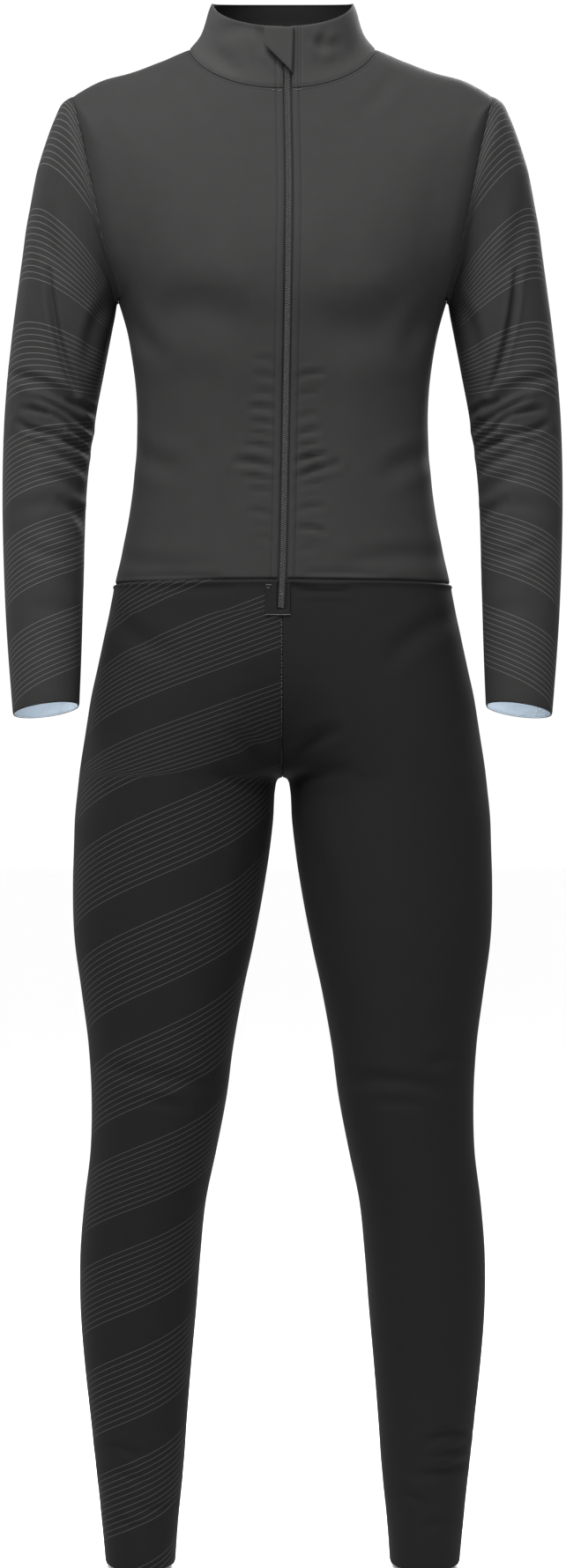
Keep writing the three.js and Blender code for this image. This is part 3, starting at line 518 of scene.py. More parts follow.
def leg_points(drop, angles):
    """Points of the wearer's left leg. Above the crotch, angles past the middle are mirrored."""
    ring = leg_ring(drop)
    angles = np.asarray(angles, float)
    start, end = ring["start"], 180 - ring["start"]
    low = (drop < CROTCH) & (angles < start)
    high = (drop < CROTCH) & (angles > end)
    turned = np.where(low, 2 * start - angles, np.where(high, 2 * end - angles, angles))
    points = ring_points(ring, turned)
    side = np.where(low | high, -1.0, 1.0)
    points[:, 0] = side * np.sqrt(np.maximum(points[:, 0] ** 2 - ring["soften"] ** 2, 0))
    return points


def leg_angle_at(drop, x):
    ring = leg_ring(drop)
    angle = angle_at(ring, math.hypot(x, ring["soften"]))
    return 2 * ring["start"] - angle if x < 0 else angle


def zip_x(z):
    return float(smooth(ZIP_LINE, "z", "x", z))


def armhole_angle(level, widest):
    share = min(max(level - UNDERARM, 0), SHOULDER_TIP - UNDERARM)
    return widest * math.sin(math.acos(1 - 2 * share)) ** ARMHOLE_ROUND


def even_points(points_at, start, end, faces):
    """Points that cut a curve into equal lengths."""
    angles = np.linspace(start, end, CURVE_SAMPLES)
    lengths = arc_lengths(points_at(angles))
    return points_at(np.interp(np.linspace(0, lengths[-1], faces + 1), lengths, angles))


def row_steps(points):
    """The distances between points that follow each other along the first axis."""
    return np.linalg.norm(np.diff(points, axis=0), axis=-1)


def running(steps):
    return np.concatenate([[0], np.cumsum(steps)])


def arc_lengths(points):
    return running(row_steps(points))


def along_line(values, lengths, places):
    """A line's values at distances along it."""
    return np.stack([np.interp(places, lengths, values[:, k]) for k in range(3)], axis=-1)


def unit(vectors):
    return vectors / np.linalg.norm(vectors, axis=-1, keepdims=True)


def relaxed(rows):
    """Evens out the creases across a piece, with its edges and the strips beside them held."""
    width = rows.shape[1]
    column = np.arange(width)
    strips = np.minimum(column, width - 1 - column) - RELAX["held"]
    pull = RELAX["pull"] * np.clip(strips / RELAX["strips"], 0, 1)
    for _ in range(RELAX["passes"]):
        low, here, high = rows[:-2], rows[1:-1], rows[2:]
        down = np.linalg.norm(here - low, axis=2, keepdims=True)
        up = np.linalg.norm(here - high, axis=2, keepdims=True)
        straight = low + (high - low) * down / (down + up)
        rows = rows.copy()
        rows[1:-1] = here + (straight - here) * pull[None, :, None]
    return rows


def mirrored(rows):
    return rows * np.array([-1.0, 1.0, 1.0])


ARMHOLE_LEVELS = UNDERARM + (1 - np.cos(np.linspace(0, np.pi, SLEEVE_FACES // 2 + 1))) / 2
BODY_LEVELS = [
    *np.linspace(0, UNDERARM, UNDERARM_ROW + 1)[:-1],
    *ARMHOLE_LEVELS,
    *np.linspace(SHOULDER_TIP, NECK, YOKE_STRIPS + 1)[1:],
]
COLLAR_LEVELS = np.linspace(NECK, RIM, COLLAR_STRIPS + 1)
LEG_DROPS = [
    0, ZIP_MIDDLE, ZIP_END, UNDER_ZIP, 48, 76, 104, 126, 143, 150, 157, 162.5, 168, 171.5, 173.6,
    CROTCH, 175.4, 177.2, 180, 184, 190, 198, 209, 239, 274, 319, 369, 419, 469, 514, 559, 609,
    659, 709, 759, 809, 854, 890,
]
CROTCH_ROW = LEG_DROPS.index(CROTCH)
ZIP_END_ROW = LEG_DROPS.index(ZIP_END)


def front_row(level, hand):
    ring = body_ring(level)
    start = angle_at(ring, CHAIN_EDGE + hand * zip_x(ring["frontZ"]))
    end = 90 - armhole_angle(level, ARMHOLE_FRONT)
    return even_points(lambda angles: body_points(level, angles), start, end, QUARTER)


def back_row(level):
    start = 90 + armhole_angle(level, ARMHOLE_BACK)
    left = even_points(lambda angles: body_points(level, angles), start, 180, QUARTER)
    return np.concatenate([left, mirrored(left[:-1])[::-1]])


def collar_row(level):
    left = front_row(level, 1)
    right = mirrored(front_row(level, -1))
    return np.concatenate([left, back_row(level)[1:-1], right[::-1]])


def leg_front_row(drop, hand):
    edge = CHAIN_EDGE + hand * zip_x(WAIST_Z - drop)
    start = leg_angle_at(drop, edge) if drop <= ZIP_END else leg_ring(drop)["start"]
    return even_points(lambda angles: leg_points(drop, angles), start, 90, QUARTER)


def leg_back_row(drop):
    end = 180 - leg_ring(drop)["start"]
    return even_points(lambda angles: leg_points(drop, angles), 90, end, QUARTER)


def sleeve_rows():
    """The armhole's loop, from the underarm up the front, and the sections down to the cuff."""
    front, back = (
        [body_points(level, [90 + hand * armhole_angle(level, widest)])[0] for level in ARMHOLE_LEVELS]
        for hand, widest in ((-1, ARMHOLE_FRONT), (1, ARMHOLE_BACK))
    )
    rows = [np.array(front + back[-2:0:-1])]
    turns = 2 * np.pi * np.arange(SLEEVE_FACES) / SLEEVE_FACES
    for _, outer_x, outer_z, inner_x, inner_z, front_y, back_y, lift in zip(*SLEEVE.values()):
        middle = np.array([outer_x + inner_x, front_y + back_y, outer_z + inner_z]) / 2
        out = np.array([outer_x - inner_x, 0, outer_z - inner_z]) / 2
        ahead = np.array([0, (front_y - back_y) / 2, lift])
        rows.append(middle - np.outer(np.cos(turns), out) + np.outer(np.sin(turns), ahead))
    rows = np.array(rows)
    return np.concatenate([rows, rows[:, :1]], axis=1)


def knot_slopes(points, knots, breaks):
    """Slopes of curves along the first axis. breaks gives, for each row, how much each curve may
    turn a corner there: two lists of slopes come back, for the stretch before and after a row."""
    spans = np.diff(knots, axis=0)[..., None]
    chords = np.diff(points, axis=0) / spans
    middle = np.empty_like(points)
    middle[1:-1] = (chords[:-1] * spans[1:] + chords[1:] * spans[:-1]) / (spans[:-1] + spans[1:])
    middle[0] = (3 * chords[0] - middle[1]) / 2
    middle[-1] = (3 * chords[-1] - middle[-2]) / 2
    before, after = middle.copy(), middle.copy()
    for row, share in breaks.items():
        share = np.asarray(share)[:, None]
        before[row] += share * ((3 * chords[row - 1] - middle[row - 1]) / 2 - before[row])
        after[row] += share * ((3 * chords[row] - middle[row + 1]) / 2 - after[row])
    return before, after


def refined(points, cell, breaks=None, first=(), last=()):
    """Curves along the first axis, cut finer: about cell between points, with points at the given
    distances from the first and last one. Also the place of each row among the old ones."""
    steps = np.maximum(row_steps(points), LEAST_STEP)
    knots = np.concatenate([np.zeros((1, points.shape[1])), np.cumsum(steps, axis=0)])
    before, after = knot_slopes(points, knots, breaks or {})
    lengths = steps.mean(axis=1)
    places = []
    for i, length in enumerate(lengths):
        parts = max(1, round(length / cell))
        places.extend(i + np.arange(parts) / parts)
    places = np.array([*places, len(lengths)])
    low, high = lengths[0], lengths[-1]
    near_start = np.array([d / low for d in first if d < EDGE_CELL["most"] * low])
    near_end = np.array([len(lengths) - d / high for d in last if d < EDGE_CELL["most"] * high])
    if len(near_start):
        places = places[places > near_start.max() + EDGE_CELL["clear"] * cell / low]
    if len(near_end):
        places = places[places < near_end.min() - EDGE_CELL["clear"] * cell / high]
    places = np.sort(np.concatenate([near_start, places, near_end]))
    segment = np.minimum(places.astype(int), len(lengths) - 1)
    t = (places - segment)[:, None, None]
    span = steps[segment][..., None]
    slopes = after[segment] * span, before[segment + 1] * span
    return hermite(points[segment], points[segment + 1], *slopes, t), places


def even_columns(rows, cell, first=(), last=()):
    """Rows cut finer across, each at equal lengths, with points at the given distances from its
    two ends. Also the length along the row at each point, from the row's first point."""
    dense, _ = refined(np.swapaxes(rows, 0, 1), cell / 2)
    dense = np.swapaxes(dense, 0, 1)
    lengths = np.array([arc_lengths(row) for row in dense])
    count = max(2, round(lengths[:, -1].max() / cell))
    low = first[-1] + cell / 2 if len(first) else 0
    high = last[-1] + cell / 2 if len(last) else 0
    points, places = [], []
    for row, length in zip(dense, lengths):
        inside = np.linspace(low, length[-1] - high, count)
        places.append(np.concatenate([first, inside, length[-1] - np.array(last[::-1])]))
        points.append(along_line(row, length, places[-1]))
    return np.array(points), np.array(places)


class Sheet:
    """A piece of cloth as a fine grid of points on its outer face, in millimetres."""

    def __init__(
        self, name, rows, axis_x, closed=False, cell=CELL, corners=None, top=(), foot=(),
        first=(), last=(), measure_from_last=False, wide_from=0,
    ):
        self.name, self.axis_x, self.closed, self.wide_from = name, axis_x, closed, wide_from
        down, self.row_at = refined(rows, cell, corners, top, foot)
        self.points, self.u = even_columns(down, cell, first, last)
        down = running(row_steps(self.points).mean(axis=1))
        self.v = np.broadcast_to(down[:, None], self.u.shape)
        if measure_from_last:
            self.u = self.u - self.u[:, -1:]
        self.normals = self.find_normals()
        self.flat = self.points.copy()

    def find_normals(self):
        """The grid's normals, facing away from an upright axis at axis_x."""
        points = self.points
        down = np.gradient(points, axis=0)
        if self.closed:
            loop = np.concatenate([points[:, -2:-1], points, points[:, 1:2]], axis=1)
            across = (loop[:, 2:] - loop[:, :-2]) / 2
        else:
            across = np.gradient(points, axis=1)
        normals = np.cross(down, across)
        normals /= np.maximum(np.linalg.norm(normals, axis=2, keepdims=True), LEAST_NORMAL)
        facing = (normals[..., 0] * (points[..., 0] - self.axis_x) + normals[..., 1] * points[..., 1]).sum()
        return normals if facing > 0 else -normals

    def push(self, depth):
        """Moves every point in by a depth in millimetres."""
        self.points = self.points - self.normals * depth[..., None]

    def edge(self, side):
        """One of the grid's edges as a line, before any fold."""
        at = {"top": 0, "foot": -1, "first": (slice(None), 0), "last": (slice(None), -1)}
        return self.flat[at[side]]

    def press(self, side, *grooves, from_row=0):
        """Presses grooves along an edge: each is how far in, how wide and how deep it is. Returns
        the distances from the edge, which counts only from the given row on."""
        line = self.edge(side)
        if from_row:
            line = line[self.row_at >= from_row - SAME_ROW]
        gap = distance_to(self.flat, line)
        self.push(sum(deep * bell(gap - at, wide) for at, wide, deep in grooves))
        return gap


def fold_depth(points, normals, folds, face):
    """How deep the folds press a surface that faces the front (-1) or the back (1)."""
    depth = np.zeros(points.shape[:-1])
    x, z = points[..., 0], points[..., 2]
    if face < 0:
        nearer = CAMERA["y"] / (CAMERA["y"] - points[..., 1])
        x, z = x * nearer, CAMERA["z"] + (z - CAMERA["z"]) * nearer
    facing = smoothstep((normals[..., 1] * face + FOLD_SHAPE["aside"]) / FOLD_SHAPE["turning"])
    tip = FOLD_SHAPE["tip"]
    for x1, z1, x2, z2, bow, wide, deep, ridge in zip(*folds.values()):
        run = math.hypot(x2 - x1, z2 - z1)
        ux, uz = (x2 - x1) / run, (z2 - z1) / run
        t = ((x - x1) * ux + (z - z1) * uz) / run
        inside = np.clip(t, 0, 1)
        lift = bow * 4 * inside * (1 - inside)
        across = (z - z1) * ux - (x - x1) * uz - lift * (1 if ux >= 0 else -1)
        past = np.maximum(np.abs(t - 0.5) - 0.5, 0) * run
        distance = np.hypot(across, past) / wide
        fade = np.sqrt(np.clip(np.sin(np.pi * (tip + (1 - 2 * tip) * inside)), 0, 1))
        swell = bell(distance - FOLD_SHAPE["ridgeAt"], FOLD_SHAPE["ridgeWide"])
        depth += deep * fade * (bell(distance, 1) - ridge * swell)
    return depth * facing


def distance_to(points, line):
    """The distance from every point of a grid to the nearest point of a line."""
    dense = refined(line[:, None, :], LINE_STEP)[0][:, 0]
    flat = points.reshape(-1, 3)
    best = np.full(len(flat), np.inf)
    for start in range(0, len(dense), LINE_PART):
        part = dense[start:start + LINE_PART]
        gaps = np.linalg.norm(flat[:, None, :] - part[None], axis=2).min(axis=1)
        best = np.minimum(best, gaps)
    return best.reshape(points.shape[:-1])


def bell(distance, wide):
    return np.exp(-(distance / wide) ** 2)


# Meshes

def mesh_object(name, points, faces, materials, uvs=None):
    """A mesh object from points in millimetres, with optional texture places in millimetres."""
    mesh = bpy.data.meshes.new(name)
    mesh.from_pydata((np.asarray(points) * MM).tolist(), [], [list(map(int, face)) for face in faces])
    for material in materials:
        mesh.materials.append(material)
    if uvs is not None:
        layer = mesh.uv_layers.new(name="cloth")
        corners = np.empty(len(mesh.loops), np.int32)
        mesh.loops.foreach_get("vertex_index", corners)
        layer.data.foreach_set("uv", uvs[corners].astype(np.float32).ravel())
    mesh.polygons.foreach_set("use_smooth", np.full(len(mesh.polygons), True))
    mesh.update()
    piece = bpy.data.objects.new(name, mesh)
    bpy.context.scene.collection.objects.link(piece)
    return piece


def grid_faces(rows, columns):
    corner = (np.arange(rows - 1)[:, None] * columns + np.arange(columns - 1)[None]).ravel()
    return np.stack([corner, corner + 1, corner + columns + 1, corner + columns], axis=1)


def outward(faces, points, normals):
    """Turns the faces over if they look against the given normals."""
    a, b, c = (points[faces[:, i]] for i in range(3))
    looks = np.einsum("ij,ij->i", np.cross(b - a, c - a), normals[faces[:, 0]]).sum()
    return faces if looks > 0 else faces[:, ::-1]


def cloth(sheet, outer, inner, thickness=KNIT):
    """A sheet's mesh, as a thin wall with its own inner face."""
    rows, columns = sheet.points.shape[:2]
    points = sheet.points.reshape(-1, 3)
    faces = outward(grid_faces(rows, columns), points, sheet.normals.reshape(-1, 3))
    uvs = np.stack([sheet.u.ravel(), sheet.v.ravel()], axis=1)
    piece = mesh_object(sheet.name + "_cloth", points, faces, [outer, inner], uvs)
    thicken(piece, thickness)
    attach(piece, "root")
    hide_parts(sheet.name)
    return piece


def thicken(piece, thickness):
    """Makes a sheet a wall of a thickness, inward, with its second material on the inner face."""
    wall = piece.modifiers.new("wall", "SOLIDIFY")
    wall.thickness = thickness * MM
    wall.offset = -1
    wall.material_offset = 1
    wall.use_even_offset = False


def declare_cut(sheet):
    across = sheet.u.max(axis=1) - sheet.u.min(axis=1)
    width = float(across[sheet.row_at >= sheet.wide_from].max()) * MM


# Materials

def nodes_of(name, color, roughness, metallic=0.0, sheen=0.0, specular=0.012):
    material = bpy.data.materials.new(name)
    material.use_nodes = True
    shader = material.node_tree.nodes["Principled BSDF"]
    for place, value in (
        ("Base Color", color), ("Roughness", roughness), ("Metallic", metallic),
        ("Sheen Weight", sheen), ("Sheen Roughness", SHEEN_ROUGHNESS), ("Specular IOR Level", specular),
    ):
        feed(shader.inputs[place], value)
    return material, shader


def feed(socket, value):
    """Gives a shader node's input a number, a color or another node's output."""
    if isinstance(value, Output):
        socket.id_data.links.new(value.socket, socket)
    elif isinstance(value, tuple):
        socket.default_value = (*value, 1)
    else:
        socket.default_value = value


def shader_node(tree, use, **inputs):
    node = tree.nodes.new("ShaderNode" + use)
    for name, value in inputs.items():
        feed(node.inputs[name], value)
    return node


class Output:
    """What a shader node gives. Sums with it make further nodes."""

    def __init__(self, socket):
        self.socket = socket
        self.tree = socket.id_data

    def to(self, operation, *others, clamp=False):
        """This through one more maths node."""
        node = shader_node(self.tree, "Math")
        node.operation = operation
        node.use_clamp = clamp
        for socket, value in zip(node.inputs, (self, *others)):
            feed(socket, value)
        return Output(node.outputs[0])

    def __add__(self, other):
        return self.to("ADD", other)

    def __sub__(self, other):
        return self.to("SUBTRACT", other)

    def __mul__(self, other):
        return self.to("MULTIPLY", other)

    def __truediv__(self, other):
        return self.to("DIVIDE", other)


def mix_colors(share, first, second):
    node = shader_node(share.tree, "Mix")
    node.data_type = "RGBA"
    for name, value in (("Factor", share), ("A", first), ("B", second)):
        feed(node.inputs[name], value)
    return Output(node.outputs["Result"])


def grey(level, warm=0.0):
    """A grey from its sRGB level of 255, a little warm or cool."""
    share = ((level / 255 + 0.055) / 1.055) ** 2.4
    return (share * (1 + warm), share, share * (1 - warm))


def cloth_places(tree):
    """Texture places on the cloth in millimetres: both, across, and down."""
    node = shader_node(tree, "UVMap")
    node.uv_map = "cloth"
    places = Output(node.outputs["UV"])
    split = shader_node(tree, "SeparateXYZ", Vector=places)
    return places, Output(split.outputs["X"]), Output(split.outputs["Y"])


def object_places(tree):
    return Output(shader_node(tree, "TexCoord").outputs["Object"])


def noise(places, scale, detail):
    look = {"Scale": scale, "Detail": detail, "Roughness": NOISE_ROUGHNESS}
    return Output(shader_node(places.tree, "TexNoise", Vector=places, **look).outputs["Fac"])


def knit_height(across, down):
    """Fine V-shaped stitches: wales down the cloth, crossed by slanted courses."""
    share = (across / LOOPS["wale"]).to("FRACT")
    slanted = down / LOOPS["course"] + (share - 0.5).to("ABSOLUTE") * LOOPS["lean"]
    wales, courses = (share * math.pi).to("SINE"), (slanted * (2 * math.pi)).to("SINE")
    return wales * LOOPS["waleHigh"] + courses * LOOPS["courseHigh"]


def bumped(shader, height, distance, strength):
    bump = shader_node(height.tree, "Bump", Strength=strength, Distance=distance, Height=height)
    feed(shader.inputs["Normal"], Output(bump.outputs["Normal"]))


def stripe_share(across, down):
    """1 on the fine printed stripes: even groups of thin straight lines that slant round a limb."""
    slant = down + across * STRIPES["slope"]
    in_group = (slant / STRIPES["group"]).to("FRACT").to("LESS_THAN", STRIPES["share"])
    away = ((slant / STRIPES["pitch"]).to("FRACT") - 0.5).to("ABSOLUTE") * STRIPES["pitch"]
    past = away - (STRIPES["line"] + STRIPES["soft"]) / 2
    return past.to("DIVIDE", -STRIPES["soft"], clamp=True) * in_group


def knit(name, level, warm=0.0, stripes=None):
    """Stretch knit: fine stitches with a painted highlight, soft mottling, sheen and optional printed
    pinstripes.
    """
    look = KNIT_LOOK
    material, shader = nodes_of(name, grey(level, warm), look["rough"], sheen=look["sheen"])
    feed(shader.inputs["Sheen Tint"], SHEEN_TINT)
    places, across, down = cloth_places(shader.id_data)
    mottle, grain = noise(places, look["mottle"], 4), noise(places, look["grain"], 2)
    blotch = mottle * look["mottled"] + grain * (1 - look["mottled"])
    dark, light = grey(level * (1 - look["spread"]), warm), grey(level * (1 + look["spread"]), warm)
    height = knit_height(across, down)
    # Painted highlight: a lighter grey mixed onto the stitches' raised tops, more where they stand higher
    raised = grey(level * look["loopHighlightLevel"] + look["loopHighlightMore"], warm)
    loop_highlight_share = height.to("MULTIPLY", look["raised"], clamp=True)
    color = mix_colors(loop_highlight_share, mix_colors(blotch, dark, light), raised)
    if stripes:
        color = mix_colors(stripe_share(across, down) * look["printed"], color, grey(stripes))
    feed(shader.inputs["Base Color"], color)
    bumped(shader, height + grain * look["grainHigh"], look["bump"], look["bumpShare"])
    rough = mottle * look["roughSpread"] + (look["rough"] - look["roughSpread"] / 2)
    feed(shader.inputs["Roughness"], rough)
    return material


def plain(name, level, roughness, metallic=0.0):
    """Plastic, thread or painted metal, with a fine uneven surface."""
    look = PLAIN_LOOK
    material, shader = nodes_of(name, grey(level), roughness, metallic, specular=look["specular"])
    fine = noise(object_places(shader.id_data), look["grain"], 3)
    dark, light = grey(level * (1 - look["spread"])), grey(level * (1 + look["spread"]))
    feed(shader.inputs["Base Color"], mix_colors(fine, dark, light))
    bumped(shader, fine, look["bump"], look["bumpShare"])
    return material


UPPER = knit("upper_knit", 27, 0.01)
COLLAR_KNIT = knit("collar_knit", 34, 0.01)
# lower_knit: the legs' own darker knit, darkened further as painted shade for the knees and shins
LEG_KNIT_WITH_PAINTED_SHADE = knit("lower_knit", 16)
SLEEVE_KNIT = knit("sleeve_knit", 26, 0.01, stripes=58)
# striped_lower_knit and its stripes carry the same painted shade
STRIPED_LEG_KNIT_WITH_PAINTED_SHADE = knit("striped_lower_knit", 16, stripes=45)
INNER_DARK = knit("inner_knit", 16)
INNER_PALE = knit("inner_pale_knit", 208, -0.12)
THREAD = plain("dark_thread", 16, 0.6)
LEG_THREAD = plain("leg_thread", 18, 0.6)
TAPE_CLOTH = knit("zip_tape", 22)
PALE_THREAD = plain("pale_thread", 96, 0.6)
COIL_PLASTIC = plain("coil_plastic", 36, 0.42)
DARK_METAL = plain("dark_metal", 40, 0.35, metallic=0.7)


def front_surface(points_at, row, angle, out, row_step):
    """A point in front of the surface by a distance, from the slopes of the surface there."""
    here = points_at(row, [angle])[0]
    along = points_at(row + row_step, [angle])[0] - points_at(row - row_step, [angle])[0]
    across = points_at(row, [angle + ANGLE_STEP])[0] - points_at(row, [angle - ANGLE_STEP])[0]
    normal = unit(np.cross(along, across))
    return here + (-normal if normal[1] > 0 else normal) * out


def body_front_at(level, x, out):
    return front_surface(body_points, level, angle_at(body_ring(level), x), out, LEVEL_STEP)


def leg_front_at(drop, x, out):
    return front_surface(leg_points, drop, leg_angle_at(drop, x), out, DROP_STEP)


def front_at(x, z, out):
    """The suit's front at a height and a distance across, moved out by a distance."""
    if z < WAIST_Z:
        return leg_front_at(WAIST_Z - z, x, out)
    low, high = 0.0, float(RIM)
    for _ in range(HALVINGS):
        middle = (low + high) / 2
        if body_front_at(middle, x, 0)[2] < z:
            low = middle
        else:
            high = middle
    return body_front_at((low + high) / 2, x, out)


# The sheets

def ramp(width, ends):
    """1 at a row's sewn ends, fading to 0 over a few columns."""
    column = np.arange(width)
    near = np.full(width, CORNER_FADE)
    if "first" in ends:
        near = np.minimum(near, column)
    if "last" in ends:
        near = np.minimum(near, width - 1 - column)
    return np.clip(1 - near / CORNER_FADE, 0, 1)


def make_sheets():
    """Every piece as a sheet. The right one of a pair is laid out on the left and mirrored."""
    sheets = {}
    quarter = QUARTER + 1
    near = dict.fromkeys(("top", "foot", "first", "last"), NEAR_SEAM)

    def add(name, rows, axis_x=0, hand=1, **cut):
        rows = rows if hand > 0 else mirrored(rows)
        sheets[name] = Sheet(name, rows, hand * axis_x, **{**near, **cut})

    corners = dict.fromkeys((UNDERARM_ROW, TIP_ROW), ramp(quarter, "last"))
    for name, hand in (("front_left", 1), ("front_right", -1)):
        rows = relaxed(np.array([front_row(level, hand) for level in BODY_LEVELS]))
        add(name, rows, hand=hand, corners=corners, first=NEAR_ZIP)
    corners = dict.fromkeys((UNDERARM_ROW, TIP_ROW), ramp(2 * QUARTER + 1, ("first", "last")))
    add("back", relaxed(np.array([back_row(level) for level in BODY_LEVELS])), corners=corners)
    rows = np.array([collar_row(level) for level in COLLAR_LEVELS])
    add("collar", rows, cell=COLLAR_CELL, first=NEAR_COLLAR, last=NEAR_ZIP)
    rows = sleeve_rows()
    for name, hand in (("sleeve_left", 1), ("sleeve_right", -1)):
        add(name, rows, SLEEVE_AXIS, hand, closed=True, cell=FINE_CELL, wide_from=SLEEVE_BELOW_CAP)
    front = {"cell": COARSE_CELL, "measure_from_last": True}
    front["corners"] = dict.fromkeys((ZIP_END_ROW, ZIP_END_ROW + 1, CROTCH_ROW), ramp(quarter, "first"))
    back = {"cell": COARSE_CELL, "corners": {CROTCH_ROW: ramp(quarter, "last")}}
    for side, hand in (("left", 1), ("right", -1)):
        rows = np.array([leg_front_row(drop, hand) for drop in LEG_DROPS])
        add("leg_front_" + side, rows, LEG_AXIS, hand, **front)
        rows = relaxed(np.array([leg_back_row(drop) for drop in LEG_DROPS]))
        add("leg_back_" + side, rows, LEG_AXIS, hand, **back)
    return sheets


def share_normals(sheets):
    """Gives pieces that meet at a seam the same directions there, so that the seam stays shut."""
    edges = []
    for sheet in sheets.values():
        on_edge = np.zeros(sheet.points.shape[:2], bool)
        on_edge[[0, -1]] = True
        if not sheet.closed:
            on_edge[:, [0, -1]] = True
        edges.append((sheet, on_edge, sheet.points[on_edge], sheet.normals[on_edge]))
    shared = []
    for sheet, on_edge, points, normals in edges:
        others = [edge for edge in edges if edge[0] is not sheet]
        other_points, other_normals = (np.concatenate([edge[k] for edge in others]) for k in (2, 3))
        new = normals.copy()
        for i, point in enumerate(points):
            gaps = np.linalg.norm(other_points - point, axis=1)
            near = gaps < MEETING
            if near.any():
                weights = 1 - gaps[near] / MEETING
                new[i] = normals[i] + weights @ other_normals[near] / weights.sum()
        shared.append(unit(new))
    for (sheet, on_edge, _, _), new in zip(edges, shared):
        sheet.normals[on_edge] = new


def kind(name):
    """A piece's name without its side."""
    return name.removesuffix("_left").removesuffix("_right")


FOLDS = {
    "front": (FRONT_FOLDS, None),
    "back": (None, BACK_FOLDS),
    "collar": (COLLAR_FRONT_FOLDS, COLLAR_BACK_FOLDS),
    "sleeve": (SLEEVE_FRONT_FOLDS, SLEEVE_BACK_FOLDS),
    "leg_front": (LEG_FRONT_FOLDS, LEG_BACK_FOLDS),
    "leg_back": (LEG_FRONT_FOLDS, LEG_BACK_FOLDS),
}


def fold_sheets(sheets):
    """Presses the folds into the pieces, those that face the front and those that face the back."""
    for name, sheet in sheets.items():
        points = mirrored(sheet.points) if name == "sleeve_right" else sheet.points
        for folds, face in zip(FOLDS[kind(name)], (-1, 1)):
            if folds:
                sheet.push(fold_depth(points, sheet.normals, folds, face))


# A body piece's rows run up from the waist, so its top side is at the waist seam
SEWN = {
    "front": ["foot", "last"],
    "back": ["foot", "first", "last"],
    "collar": ["top"],
    "sleeve": ["top", "first"],
    "leg_front": ["last"],
    "leg_back": ["first", "last"],
}
ZIP_SIDES = [
    ("front_left", "first", [ZIP_ROW]),
    ("front_right", "first", [ZIP_ROW]),
    ("collar", "first", COLLAR_ROWS),
    ("collar", "last", [ZIP_ROW]),
]


def sew_sheets(sheets):
    """Shapes the pieces beside their seams: the groove where two meet, the stitches' furrows, the
    lip under the waist seam and the rolled hems."""
    for name, sheet in sheets.items():
        for side in SEWN[kind(name)]:
            sheet.press(side, *SEAM_GROOVES)
        if name.startswith("leg"):
            sheet.press("top", WAIST_GROOVE, WAIST_LIP)
        elif kind(name) in ("front", "back"):
            sheet.press("top", WAIST_GROOVE)
        if name.startswith(("leg", "sleeve", "collar")):
            sheet.press("foot", HEM_GROOVE)
        if name.startswith("leg_front"):
            sheet.press("first", *SEAM_GROOVES, from_row=ZIP_END_ROW + 1)
    for name, side, rows in ZIP_SIDES:
        furrows = [(row, ZIP_FURROW["wide"], ZIP_FURROW["deep"]) for row in rows]
        gap = sheets[name].press(side, ZIP_GROOVE, *furrows)
        padded = smoothstep(1 - (gap - ZIP_PAD["flat"]) / ZIP_PAD["fade"])
        sheets[name].push(-ZIP_PAD["high"] * padded)


LOOKS = {
    "front": (UPPER, INNER_DARK),
    "back": (UPPER, INNER_DARK),
    "collar": (COLLAR_KNIT, INNER_DARK),
    "sleeve": (SLEEVE_KNIT, INNER_PALE),
    "leg_front": (LEG_KNIT_WITH_PAINTED_SHADE, INNER_DARK),
    "leg_back": (LEG_KNIT_WITH_PAINTED_SHADE, INNER_DARK),
}
STRIPED_LEG = (STRIPED_LEG_KNIT_WITH_PAINTED_SHADE, INNER_DARK)


def make_cloth(sheets):
    for name, sheet in sheets.items():
        leg = name.startswith("leg")
        looks = STRIPED_LEG if leg and name.endswith("right") else LOOKS[kind(name)]
        piece = cloth(sheet, *looks)
        declare_cut(sheet)


# Zip

class ZipLine:
    """The zip's centre line on the suit's front, from its top to its end, by distance along it."""

    def __init__(self):
        levels = np.linspace(ZIP_TOP, 0, ZIP_SAMPLES["body"])
        drops = np.linspace(ZIP_SAMPLES["below"], ZIP_END - ZIP_FOOT_CLEAR, ZIP_SAMPLES["leg"])

        def line_at(out):
            body = [body_front_at(level, zip_x(body_ring(level)["frontZ"]), out) for level in levels]
            return np.array(body + [leg_front_at(drop, zip_x(WAIST_Z - drop), out) for drop in drops])

        self.points = line_at(0)
        self.ups = line_at(1) - self.points
        self.places = arc_lengths(self.points)
        self.length = self.places[-1]

    def frames(self, places):
        """Points, outward directions, directions down the zip and directions across it."""
        lines = self.points, self.ups, np.gradient(self.points, self.places, axis=0)
        points, ups, downs = (along_line(line, self.places, places) for line in lines)
        acrosses = unit(np.cross(downs, ups))
        return points, ups, downs, acrosses * np.sign(acrosses[:, :1])


def make_coil(line):
    """Two rows of slanted coil turns that close over the middle."""
    points, faces = [], []
    count = len(COIL_ARCH)
    for side, start in COIL_STARTS.items():
        places = np.arange(COIL["pitch"] * start, line.length - COIL["clear"], COIL["pitch"])
        for middle, up, down, across in zip(*line.frames(places)):
            first = len(points)
            for reach, size in COIL_ENDS:
                lean = COIL["slant"] * (reach - COIL["near"]) / COIL["far"]
                for along, high in COIL_ARCH:
                    shift = along * COIL["thick"] * size + lean
                    lift = COIL["proud"] * high * size + COIL["base"]
                    points.append(middle + across * side * reach + down * shift + up * lift)
            for ring in range(len(COIL_ENDS) - 1):
                for k in range(count):
                    a, b = first + ring * count + k, first + ring * count + (k + 1) % count
                    faces.append((a, b, b + count, a + count))
            faces.append(tuple(range(first, first + count))[::-1])
            faces.append(tuple(range(len(points) - count, len(points))))
    return carry(mesh_object("zip_coil", points, faces, [COIL_PLASTIC]), "zip_plastic", "zip_chain")


